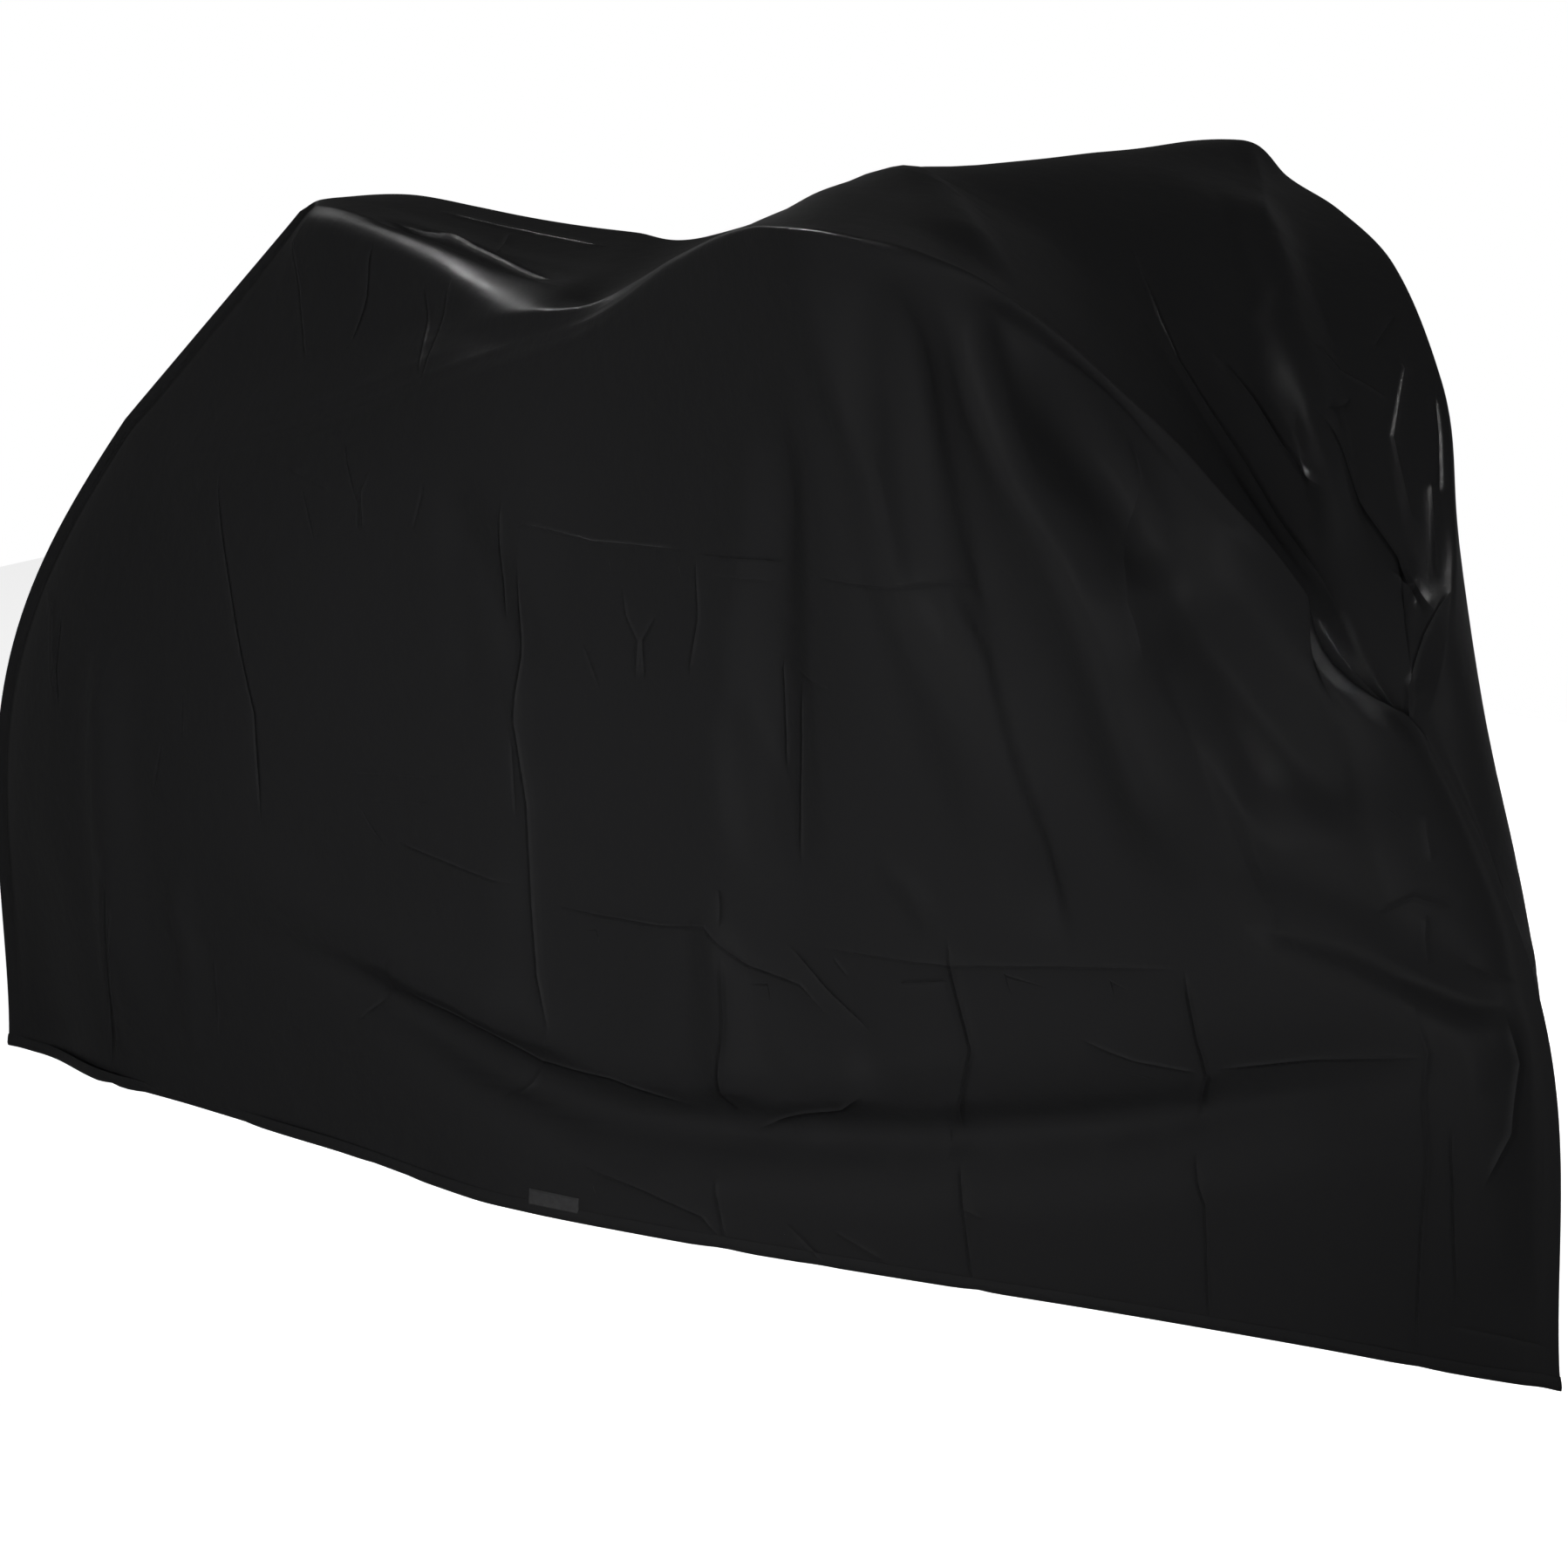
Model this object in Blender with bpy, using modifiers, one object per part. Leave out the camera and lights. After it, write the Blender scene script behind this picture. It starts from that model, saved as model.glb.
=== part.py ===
"""Bicycle cover: one sheet of thin coated cloth in the shape in which it hangs, and its bare label.

X runs from the back seam to the front seam, Z is up and Y is across, with the label's side at -Y. The tables
hold heights above the ground, and lengths ahead of a line across the cover near its back. The part's own
origin is the point on the inner face, under the top of the rear hump, where the cover is held up.
"""
from collections import namedtuple
from math import pi, sin

import bmesh
import bpy
import numpy as np
from mathutils import Vector
from mathutils.geometry import intersect_point_line

# Driving dimensions, in metres
SHEET = 0.002  # thickness of the sheet in this model
LABEL_HEIGHT = 0.018
LABEL_THICKNESS = 0.001
LABEL_ABOVE_HEM = 0.006
GAP = 0.0003  # between the label and the sheet
SEAM_WELD = 0.0001  # points of the two flanks that lie closer than this at an end seam are one point
CLOTH_COLOUR, CLOTH_ROUGHNESS = (0.012, 0.012, 0.013), 0.42
LABEL_COLOUR, LABEL_ROUGHNESS = (0.030, 0.030, 0.032), 0.60

REAR_HUMP_REST = Vector((0.20, 0.0, 1.0235))  # on the inner face, and where the origin goes

# How many strips the sheet is divided into, along it and across it, and how much the strips crowd to the hem
ALONG = 63
FLANK_STRIPS = 14
SHOULDER_STRIPS = 4
TOP_STRIPS = 3
CROWDING = 1.25
LABEL_COLUMNS = (29, 30, 31)  # the lines across the sheet that the label spans, which makes it 60 mm long
ACROSS = 2 * (FLANK_STRIPS + SHOULDER_STRIPS + TOP_STRIPS)

HemRow = namedtuple("HemRow", "share x height near far near_belly far_belly")
RidgeRow = namedtuple("RidgeRow", "share x y height")
Fold = namedtuple("Fold", "part path rise start_width end_width")

# The lower edge. near and far are its distances from the middle plane, and each belly is how far that flank
# stands out half-way up.
HEM = (
    HemRow(0.00, -0.343, 0.087, 0.000, 0.000, 0.000, 0.000),
    HemRow(0.05, -0.262, 0.090, 0.012, 0.020, 0.030, 0.030),
    HemRow(0.11, -0.145, 0.098, 0.060, 0.055, 0.040, 0.040),
    HemRow(0.20, 0.030, 0.105, 0.092, 0.090, 0.035, 0.035),
    HemRow(0.31, 0.240, 0.112, 0.128, 0.130, 0.025, 0.025),
    HemRow(0.43, 0.475, 0.117, 0.176, 0.160, 0.010, 0.015),
    HemRow(0.53, 0.665, 0.120, 0.170, 0.165, 0.000, 0.010),
    HemRow(0.65, 0.900, 0.120, 0.130, 0.150, -0.015, 0.000),
    HemRow(0.77, 1.130, 0.119, 0.082, 0.120, -0.010, 0.010),
    HemRow(0.88, 1.340, 0.116, 0.040, 0.070, 0.022, 0.030),
    HemRow(0.95, 1.473, 0.114, 0.018, 0.030, 0.040, 0.040),
    HemRow(1.00, 1.568, 0.114, 0.000, 0.000, 0.000, 0.000),
)

# The ridge that bounds the near flank: from the back seam up to the near corner of the
# front hump, then down to the pinch in front
NEAR_RIDGE = (
    RidgeRow(0.00, -0.150, 0.000, 0.776),
    RidgeRow(0.05, -0.100, -0.035, 0.775),
    RidgeRow(0.12, -0.014, -0.075, 0.775),
    RidgeRow(0.20, 0.120, -0.120, 0.808),
    RidgeRow(0.28, 0.270, -0.150, 0.855),
    RidgeRow(0.36, 0.421, -0.170, 0.916),
    RidgeRow(0.42, 0.538, -0.180, 0.967),
    RidgeRow(0.47, 0.650, -0.190, 1.010),
    RidgeRow(0.53, 0.746, -0.220, 1.057),
    RidgeRow(0.60, 0.866, -0.280, 1.103),
    RidgeRow(0.67, 0.960, -0.330, 1.120),
    RidgeRow(0.71, 1.030, -0.330, 1.118),
    RidgeRow(0.76, 1.129, -0.300, 1.096),
    RidgeRow(0.80, 1.172, -0.260, 1.060),
    RidgeRow(0.85, 1.232, -0.190, 0.980),
    RidgeRow(0.89, 1.275, -0.120, 0.898),
    RidgeRow(0.93, 1.320, -0.050, 0.800),
    RidgeRow(0.96, 1.336, -0.060, 0.745),
    RidgeRow(1.00, 1.412, 0.000, 0.679),
)

# Its fellow on the far side
FAR_RIDGE = (
    RidgeRow(0.00, -0.150, 0.000, 0.776),
    RidgeRow(0.05, -0.100, 0.035, 0.780),
    RidgeRow(0.12, -0.005, 0.080, 0.790),
    RidgeRow(0.20, 0.120, 0.120, 0.830),
    RidgeRow(0.28, 0.250, 0.145, 0.870),
    RidgeRow(0.36, 0.380, 0.155, 0.920),
    RidgeRow(0.42, 0.470, 0.155, 0.960),
    RidgeRow(0.47, 0.530, 0.160, 0.990),
    RidgeRow(0.53, 0.680, 0.220, 1.045),
    RidgeRow(0.60, 0.840, 0.310, 1.095),
    RidgeRow(0.67, 0.959, 0.370, 1.116),
    RidgeRow(0.71, 1.009, 0.370, 1.088),
    RidgeRow(0.76, 1.082, 0.350, 1.065),
    RidgeRow(0.80, 1.173, 0.300, 1.031),
    RidgeRow(0.85, 1.286, 0.210, 0.951),
    RidgeRow(0.89, 1.358, 0.120, 0.871),
    RidgeRow(0.93, 1.405, 0.050, 0.805),
    RidgeRow(0.96, 1.420, 0.015, 0.750),
    RidgeRow(1.00, 1.412, 0.000, 0.679),
)

# The near edge of the rear hump, which runs on over the front hump half-way between its ridge and its middle
NEAR_CREST = (
    RidgeRow(0.00, 0.097, 0.000, 1.012),
    RidgeRow(0.10, 0.130, -0.020, 1.020),
    RidgeRow(0.20, 0.190, -0.045, 1.026),
    RidgeRow(0.28, 0.280, -0.065, 1.020),
    RidgeRow(0.36, 0.420, -0.090, 1.003),
    RidgeRow(0.42, 0.520, -0.108, 0.993),
    RidgeRow(0.47, 0.585, -0.118, 0.985),
    RidgeRow(0.53, 0.700, -0.115, 1.050),
    RidgeRow(0.60, 0.825, -0.150, 1.102),
    RidgeRow(0.67, 0.915, -0.190, 1.128),
    RidgeRow(0.72, 1.020, -0.170, 1.100),
    RidgeRow(0.76, 1.090, -0.160, 1.050),
    RidgeRow(0.80, 1.140, -0.140, 1.000),
    RidgeRow(0.85, 1.200, -0.100, 0.930),
    RidgeRow(0.89, 1.250, -0.060, 0.860),
    RidgeRow(0.93, 1.305, -0.030, 0.780),
    RidgeRow(0.96, 1.340, -0.020, 0.735),
    RidgeRow(1.00, 1.405, 0.000, 0.676),
)

FAR_CREST = (
    RidgeRow(0.00, 0.097, 0.000, 1.012),
    RidgeRow(0.10, 0.120, 0.030, 1.022),
    RidgeRow(0.20, 0.175, 0.070, 1.027),
    RidgeRow(0.28, 0.250, 0.090, 1.020),
    RidgeRow(0.36, 0.360, 0.100, 1.012),
    RidgeRow(0.42, 0.430, 0.110, 1.008),
    RidgeRow(0.47, 0.490, 0.120, 1.008),
    RidgeRow(0.53, 0.640, 0.130, 1.055),
    RidgeRow(0.60, 0.820, 0.170, 1.098),
    RidgeRow(0.67, 0.925, 0.200, 1.117),
    RidgeRow(0.72, 1.040, 0.200, 1.090),
    RidgeRow(0.76, 1.110, 0.190, 1.050),
    RidgeRow(0.80, 1.160, 0.170, 1.010),
    RidgeRow(0.85, 1.240, 0.140, 0.950),
    RidgeRow(0.89, 1.290, 0.100, 0.890),
    RidgeRow(0.93, 1.340, 0.060, 0.820),
    RidgeRow(0.96, 1.370, 0.030, 0.760),
    RidgeRow(1.00, 1.405, 0.000, 0.676),
)

MIDDLE = (
    RidgeRow(0.00, 0.097, 0.000, 1.012),
    RidgeRow(0.10, 0.125, 0.000, 1.025),
    RidgeRow(0.20, 0.180, 0.010, 1.028),
    RidgeRow(0.28, 0.265, 0.010, 1.014),
    RidgeRow(0.36, 0.390, 0.005, 1.000),
    RidgeRow(0.42, 0.480, 0.000, 0.995),
    RidgeRow(0.47, 0.555, 0.000, 1.000),
    RidgeRow(0.53, 0.680, 0.000, 1.064),
    RidgeRow(0.60, 0.800, -0.010, 1.103),
    RidgeRow(0.67, 0.880, -0.030, 1.124),
    RidgeRow(0.72, 1.000, 0.000, 1.075),
    RidgeRow(0.76, 1.070, 0.010, 1.020),
    RidgeRow(0.80, 1.130, 0.010, 0.970),
    RidgeRow(0.85, 1.200, 0.010, 0.900),
    RidgeRow(0.89, 1.260, 0.010, 0.835),
    RidgeRow(0.93, 1.320, 0.005, 0.770),
    RidgeRow(0.96, 1.360, 0.000, 0.720),
    RidgeRow(1.00, 1.400, 0.000, 0.675),
)

# The folds. A flank's path is in lengths and heights, and the top's in lengths and distances across. rise is
# how far the fold stands out of the sheet, or sinks into it, and each width is half of its own there.
FOLDS = (
    Fold("near", ((0.96, 1.09), (1.03, 0.90), (1.04, 0.79), (1.13, 0.50)), 0.014, 0.030, 0.070),
    Fold("near", ((1.13, 1.08), (1.17, 0.84), (1.25, 0.62), (1.31, 0.50)), 0.018, 0.035, 0.080),
    Fold("near", ((1.05, 1.09), (1.06, 0.86), (1.07, 0.68)), -0.014, 0.025, 0.050),
    Fold("near", ((1.17, 1.02), (1.26, 0.80), (1.34, 0.66), (1.42, 0.58)), -0.024, 0.035, 0.060),
    Fold("near", ((0.92, 0.98), (0.86, 0.72), (0.83, 0.46)), -0.016, 0.040, 0.070),
    Fold("near", ((0.42, 0.82), (0.50, 0.72), (0.55, 0.62)), -0.010, 0.040, 0.050),
    Fold("near", ((0.10, 0.38), (0.36, 0.33), (0.60, 0.29)), 0.012, 0.050, 0.050),
    Fold("near", ((0.12, 0.33), (0.44, 0.26), (0.65, 0.22), (1.00, 0.25), (1.25, 0.31), (1.48, 0.38)),
         -0.020, 0.050, 0.050),
    Fold("near", ((1.30, 0.56), (1.43, 0.49), (1.53, 0.44)), -0.012, 0.040, 0.030),
    Fold("near", ((0.77, 0.47), (0.77, 0.24)), 0.010, 0.030, 0.040),
    Fold("near", ((0.78, 0.25), (0.94, 0.32)), 0.008, 0.030, 0.050),
    Fold("near", ((-0.08, 0.62), (-0.06, 0.12)), 0.012, 0.040, 0.060),
    Fold("near", ((1.49, 0.46), (1.51, 0.18)), 0.008, 0.025, 0.030),
    Fold("top", ((1.03, 0.27), (1.11, 0.19), (1.20, 0.12), (1.28, 0.05), (1.34, 0.02)), 0.014, 0.040, 0.020),
    Fold("top", ((1.03, 0.07), (1.18, 0.02), (1.31, 0.00)), -0.012, 0.040, 0.020),
    Fold("top", ((0.86, -0.05), (0.97, -0.11), (1.08, -0.20)), 0.016, 0.050, 0.060),
    Fold("top", ((0.23, -0.04), (0.35, -0.05), (0.52, -0.08)), -0.010, 0.020, 0.035),
    Fold("far", ((0.95, 1.08), (0.93, 0.80), (0.96, 0.42)), 0.016, 0.035, 0.080),
    Fold("far", ((1.06, 1.02), (1.14, 0.74), (1.20, 0.50)), 0.014, 0.035, 0.070),
    Fold("far", ((1.00, 1.04), (1.04, 0.78), (1.08, 0.50)), -0.016, 0.030, 0.060),
    Fold("far", ((1.20, 0.96), (1.28, 0.72), (1.40, 0.56)), -0.018, 0.035, 0.060),
    Fold("far", ((0.80, 0.98), (0.72, 0.70), (0.66, 0.40)), -0.012, 0.040, 0.080),
    Fold("far", ((0.05, 0.40), (0.40, 0.30), (0.80, 0.26), (1.20, 0.33), (1.46, 0.42)), -0.016, 0.060, 0.060),
    Fold("far", ((0.30, 0.80), (0.22, 0.50), (0.18, 0.20)), 0.010, 0.040, 0.070),
)
FOLD_TAPER = 0.25  # the part of a fold's length over which each of its ends dies away

# How far each end seam bows out, lengthways, between the hem and the ridge, and how far along the sheet that
# reaches. The exponent sets how high up the bow is widest.
BACK_BOW = 0.100
BACK_BOW_EXPONENT = 1.23
BACK_BOW_REACH = 0.30
FRONT_BOW = 0.064
FRONT_BOW_EXPONENT = 1.25
FRONT_BOW_REACH = 0.22

# The ledge above the ridge, beside the rear hump: how much flatter than a straight slope, and where it ends
LEDGE_FLATNESS = 0.55
LEDGE_FADE_START = 0.40
LEDGE_FADE_END = 0.50

# The pocket in front, where the top tucks in behind the lip of the flanks
POCKET_DEPTH = 0.022
POCKET_START = 0.90
POCKET_FULL = 0.95
POCKET_DIRECTION = Vector((0.66, 0.0, 0.75))


def smooth_step(low, high, value):
    part = min(max((value - low) / (high - low), 0.0), 1.0)
    return part * part * (3.0 - 2.0 * part)


def between(rows, share):
    """The row of a table at any share of the way along, by a smooth curve through its rows."""
    last = len(rows) - 1
    index = 0
    while index < last - 1 and rows[index + 1].share < share:
        index += 1
    before, low, high, after = (rows[min(max(index + step, 0), last)] for step in (-1, 0, 1, 2))
    span = high.share - low.share
    part = (share - low.share) / span
    values = []
    for a, b, c, d in zip(before, low, high, after):
        slope_low = (c - a) / (high.share - before.share) * span
        slope_high = (d - b) / (after.share - low.share) * span
        cube = 2.0 * b - 2.0 * c + slope_low + slope_high
        square = -3.0 * b + 3.0 * c - 2.0 * slope_low - slope_high
        values.append(((cube * part + square) * part + slope_low) * part + b)
    return type(low)(*values)


def ridge_point(rows, share):
    row = between(rows, share)
    return Vector((row.x, row.y, row.height))


def seam_bow(share, up):
    """How far the sheet bows out, lengthways, near its two end seams."""
    back = BACK_BOW * max(1.0 - share / BACK_BOW_REACH, 0.0) ** 2
    front = FRONT_BOW * max(1.0 - (1.0 - share) / FRONT_BOW_REACH, 0.0) ** 2
    return front * sin(pi * up**FRONT_BOW_EXPONENT) - back * sin(pi * up**BACK_BOW_EXPONENT)


def flank(share, ridge, side):
    """Points up one flank, from its hem to just below its ridge. side is -1 for near and 1 for far."""
    row = between(HEM, share)
    out, belly = (row.near, row.near_belly) if side < 0 else (row.far, row.far_belly)
    hem = Vector((row.x, side * out, row.height))
    points = []
    for step in range(FLANK_STRIPS):
        up = (step / FLANK_STRIPS) ** CROWDING
        point = hem.lerp(ridge, up)
        point.x += seam_bow(share, up)
        point.y += side * belly * sin(pi * up)
        points.append(point)
    return points


def shoulder(share, ridge, crest):
    """Points from a ridge to the crest above it, in a ledge beside the rear hump and a pocket in front."""
    ledge = 1.0 - smooth_step(LEDGE_FADE_START, LEDGE_FADE_END, share)
    pocket = POCKET_DEPTH * smooth_step(POCKET_START, POCKET_FULL, share)
    pocket *= smooth_step(1.0, POCKET_FULL, share)
    points = []
    for step in range(SHOULDER_STRIPS):
        part = step / SHOULDER_STRIPS
        point = ridge.lerp(crest, part)
        inward = part ** (1.0 - LEDGE_FLATNESS * ledge)
        point.y = ridge.y + (crest.y - ridge.y) * inward
        depth = pocket * sin(pi * part)
        points.append(point - depth * POCKET_DIRECTION)
    return points


def top(crest, middle):
    return [crest.lerp(middle, step / TOP_STRIPS) for step in range(TOP_STRIPS)]


def section(share):
    """One line of points across the sheet, from the near hem over the top to the far hem."""
    near_ridge = ridge_point(NEAR_RIDGE, share)
    near_crest = ridge_point(NEAR_CREST, share)
    middle = ridge_point(MIDDLE, share)
    far_crest = ridge_point(FAR_CREST, share)
    far_ridge = ridge_point(FAR_RIDGE, share)
    near = flank(share, near_ridge, -1) + shoulder(share, near_ridge, near_crest)
    far = flank(share, far_ridge, 1) + shoulder(share, far_ridge, far_crest)
    return near + top(near_crest, middle) + [middle] + top(far_crest, middle)[::-1] + far[::-1]


def part_of(column, row):
    """Which part of the sheet a point of the grid belongs to, for its folds."""
    shoulder_is_flank = column / ALONG < LEDGE_FADE_END
    edge = SHOULDER_STRIPS if shoulder_is_flank else 0
    if row <= FLANK_STRIPS + edge:
        return "near"
    return "far" if row >= ACROSS - FLANK_STRIPS - edge else "top"


def fold_height(fold, place):
    """How far one fold lifts the sheet at a place on its part's own plane."""
    lengths = [(Vector(end) - Vector(start)).length for start, end in zip(fold.path, fold.path[1:])]
    nearest, along, gone = None, 0.0, 0.0
    for start, end, length in zip(fold.path, fold.path[1:], lengths):
        foot, part = intersect_point_line(place, start, end)
        part = min(max(part, 0.0), 1.0)
        distance = (place - Vector(start).lerp(Vector(end), part)).length
        if nearest is None or distance < nearest:
            nearest, along = distance, (gone + part * length) / sum(lengths)
        gone += length
    width = fold.start_width + (fold.end_width - fold.start_width) * along
    if nearest >= width:
        return 0.0
    taper = smooth_step(0.0, FOLD_TAPER, along) * smooth_step(1.0, 1.0 - FOLD_TAPER, along)
    return fold.rise * taper * (1.0 - (nearest / width) ** 2) ** 2


def folded(points):
    """The grid of points with every fold pressed into it, each point moved along the sheet's own normal."""
    normals = np.cross(np.gradient(points, axis=0), np.gradient(points, axis=1))
    result = points.copy()
    for column in range(1, ALONG):
        for row in range(ACROSS + 1):
            part = part_of(column, row)
            x, y, z = points[column, row]
            place = Vector((x, y)) if part == "top" else Vector((x, z))
            lift = sum(fold_height(fold, place) for fold in FOLDS if fold.part == part)
            length = np.linalg.norm(normals[column, row])
            if lift and length:
                result[column, row] += normals[column, row] * (lift / length)
    return result


def material(name, colour, roughness):
    made = bpy.data.materials.new(name)
    made.use_nodes = True
    shader = made.node_tree.nodes["Principled BSDF"]
    shader.inputs["Base Color"].default_value = (*colour, 1.0)
    shader.inputs["Roughness"].default_value = roughness
    shader.inputs["Metallic"].default_value = 0.0
    return made


def new_object(name, collection, finish):
    mesh = bpy.data.meshes.new(name)
    made = bpy.data.objects.new(name, mesh)
    collection.objects.link(made)
    mesh.materials.append(finish)
    return made


def place_on_grid(shape, columns, rows, points):
    """Moves each vertex of a fresh unit grid to the point that its column and row stand for."""
    for vertex in shape.verts:
        column = round((vertex.co.x + 0.5) * columns)
        row = round((vertex.co.y + 0.5) * rows)
        vertex.co = Vector(points[column][row]) - REAR_HUMP_REST


def give_thickness(piece, thickness, offset):
    solidify = piece.modifiers.new("sheet", "SOLIDIFY")
    solidify.thickness = thickness
    solidify.offset = offset


def make_cover(collection, points):
    """The whole cover as one sheet, sewn up at both ends, where its first and last lines of points meet."""
    cover = new_object("cover", collection, material("coated_cloth", CLOTH_COLOUR, CLOTH_ROUGHNESS))
    shape = bmesh.new()
    bmesh.ops.create_grid(shape, x_segments=ALONG, y_segments=ACROSS, size=0.5)
    place_on_grid(shape, ALONG, ACROSS, points)
    bmesh.ops.remove_doubles(shape, verts=shape.verts, dist=SEAM_WELD)
    bmesh.ops.recalc_face_normals(shape, faces=shape.faces)
    shape.to_mesh(cover.data)
    shape.free()
    give_thickness(cover, SHEET, -1.0)


def make_label(collection, points):
    """The bare label, which lies flat on the near side just above the hem."""
    label = new_object("label", collection, material("label_cloth", LABEL_COLOUR, LABEL_ROUGHNESS))
    lines = []
    for column in LABEL_COLUMNS:
        hem, above = Vector(points[column, 0]), Vector(points[column, 1])
        along = Vector(points[column + 1, 0]) - Vector(points[column - 1, 0])
        up = (above - hem).normalized()
        outward = along.cross(up).normalized() * (GAP + LABEL_THICKNESS / 2.0)
        low = hem + up * LABEL_ABOVE_HEM + outward
        lines.append((low, low + up * LABEL_HEIGHT))
    shape = bmesh.new()
    bmesh.ops.create_grid(shape, x_segments=len(lines) - 1, y_segments=1, size=0.5)
    place_on_grid(shape, len(lines) - 1, 1, lines)
    shape.to_mesh(label.data)
    shape.free()
    give_thickness(label, LABEL_THICKNESS, 0.0)


def main():
    for old in list(bpy.data.objects):
        bpy.data.objects.remove(old, do_unlink=True)
    collection = bpy.data.collections.new("bicycle_cover")
    bpy.context.scene.collection.children.link(collection)
    points = folded(np.array([section(column / ALONG) for column in range(ALONG + 1)]))
    make_cover(collection, points)
    make_label(collection, points)


main()
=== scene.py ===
"""Looks of the bicycle cover: thin coated cloth with its folds, creases, hem and seams, and its bare label.

Lengths are in metres. The tables hold heights above the ground and lengths ahead of a line across the cover
near its back, and the part's own origin is REAR_HUMP_REST in them. X runs to the front seam, Z is up, and the
label's side, called near, is at -Y.

A place on the sheet is a share of the way along it and a level, which counts strips up from the near hem,
over the top and down to the far hem. Levels below 0 and above the last are the cloth turned in at the hems.
"""
import math
from collections import namedtuple

import bmesh
import bpy
import numpy as np
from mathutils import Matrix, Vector

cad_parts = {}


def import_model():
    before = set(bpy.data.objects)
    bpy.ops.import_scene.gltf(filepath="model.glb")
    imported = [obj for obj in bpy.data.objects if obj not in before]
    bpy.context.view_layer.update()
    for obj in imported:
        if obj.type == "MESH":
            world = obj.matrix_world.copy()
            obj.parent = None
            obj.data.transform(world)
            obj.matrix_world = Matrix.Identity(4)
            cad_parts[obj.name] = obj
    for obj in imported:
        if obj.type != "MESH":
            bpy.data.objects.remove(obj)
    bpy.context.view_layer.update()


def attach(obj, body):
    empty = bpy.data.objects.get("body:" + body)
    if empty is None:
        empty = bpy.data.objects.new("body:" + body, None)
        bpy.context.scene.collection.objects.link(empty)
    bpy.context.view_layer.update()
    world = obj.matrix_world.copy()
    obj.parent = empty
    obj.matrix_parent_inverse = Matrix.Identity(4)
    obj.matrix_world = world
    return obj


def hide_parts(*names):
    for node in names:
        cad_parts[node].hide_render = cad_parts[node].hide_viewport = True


REAR_HUMP_REST = np.array((0.20, 0.0, 1.0235))

# ---------------------------------------------------------------------------------------------------------
# The form of the sheet: the part's own, with three rows more on the near ridge at the front
# ---------------------------------------------------------------------------------------------------------

HemRow = namedtuple("HemRow", "share x height near far near_belly far_belly")
RidgeRow = namedtuple("RidgeRow", "share x y height")
Fold = namedtuple("Fold", "part path rise start_width end_width")

HEM = (
    HemRow(0.00, -0.343, 0.087, 0.000, 0.000, 0.000, 0.000),
    HemRow(0.05, -0.262, 0.090, 0.012, 0.020, 0.030, 0.030),
    HemRow(0.11, -0.145, 0.098, 0.060, 0.055, 0.040, 0.040),
    HemRow(0.20, 0.030, 0.105, 0.092, 0.090, 0.035, 0.035),
    HemRow(0.31, 0.240, 0.112, 0.128, 0.130, 0.025, 0.025),
    HemRow(0.43, 0.475, 0.117, 0.176, 0.160, 0.010, 0.015),
    HemRow(0.53, 0.665, 0.120, 0.170, 0.165, 0.000, 0.010),
    HemRow(0.65, 0.900, 0.120, 0.130, 0.150, -0.015, 0.000),
    HemRow(0.77, 1.130, 0.119, 0.082, 0.120, -0.010, 0.010),
    HemRow(0.88, 1.340, 0.116, 0.040, 0.070, 0.022, 0.030),
    HemRow(0.95, 1.473, 0.114, 0.018, 0.030, 0.040, 0.040),
    HemRow(1.00, 1.568, 0.114, 0.000, 0.000, 0.000, 0.000),
)

NEAR_RIDGE = (
    RidgeRow(0.00, -0.150, 0.000, 0.776),
    RidgeRow(0.05, -0.100, -0.035, 0.775),
    RidgeRow(0.12, -0.014, -0.075, 0.775),
    RidgeRow(0.20, 0.120, -0.120, 0.808),
    RidgeRow(0.28, 0.270, -0.150, 0.855),
    RidgeRow(0.36, 0.421, -0.170, 0.916),
    RidgeRow(0.42, 0.538, -0.180, 0.967),
    RidgeRow(0.47, 0.650, -0.190, 1.010),
    RidgeRow(0.53, 0.746, -0.220, 1.057),
    RidgeRow(0.60, 0.866, -0.280, 1.103),
    RidgeRow(0.67, 0.960, -0.330, 1.120),
    RidgeRow(0.71, 1.030, -0.330, 1.118),
    RidgeRow(0.76, 1.129, -0.300, 1.096),
    RidgeRow(0.80, 1.172, -0.260, 1.060),
    RidgeRow(0.85, 1.232, -0.190, 0.980),
    RidgeRow(0.89, 1.275, -0.120, 0.898),
    RidgeRow(0.93, 1.320, -0.050, 0.800),
    RidgeRow(0.945, 1.318, -0.058, 0.772),
    RidgeRow(0.96, 1.334, -0.060, 0.745),
    RidgeRow(0.97, 1.352, -0.052, 0.724),
    RidgeRow(0.985, 1.384, -0.026, 0.700),
    RidgeRow(1.00, 1.412, 0.000, 0.679),
)

# Where the near ridge would run without the lip. From EASE_START on, the side follows this line lower down.
NEAR_EASE = (
    RidgeRow(0.00, 0.000, 0.000, 0.000),
    RidgeRow(0.85, 1.232, -0.190, 0.980),
    RidgeRow(0.89, 1.275, -0.120, 0.898),
    RidgeRow(0.93, 1.314, -0.064, 0.808),
    RidgeRow(0.96, 1.347, -0.045, 0.748),
    RidgeRow(0.985, 1.386, -0.018, 0.700),
    RidgeRow(1.00, 1.412, 0.000, 0.679),
)
EASE_START = 0.88
EASE_FULL = 0.92
EASE_POWER = 5.0  # the lip's shape reaches down the side as the height's share to this power

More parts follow.
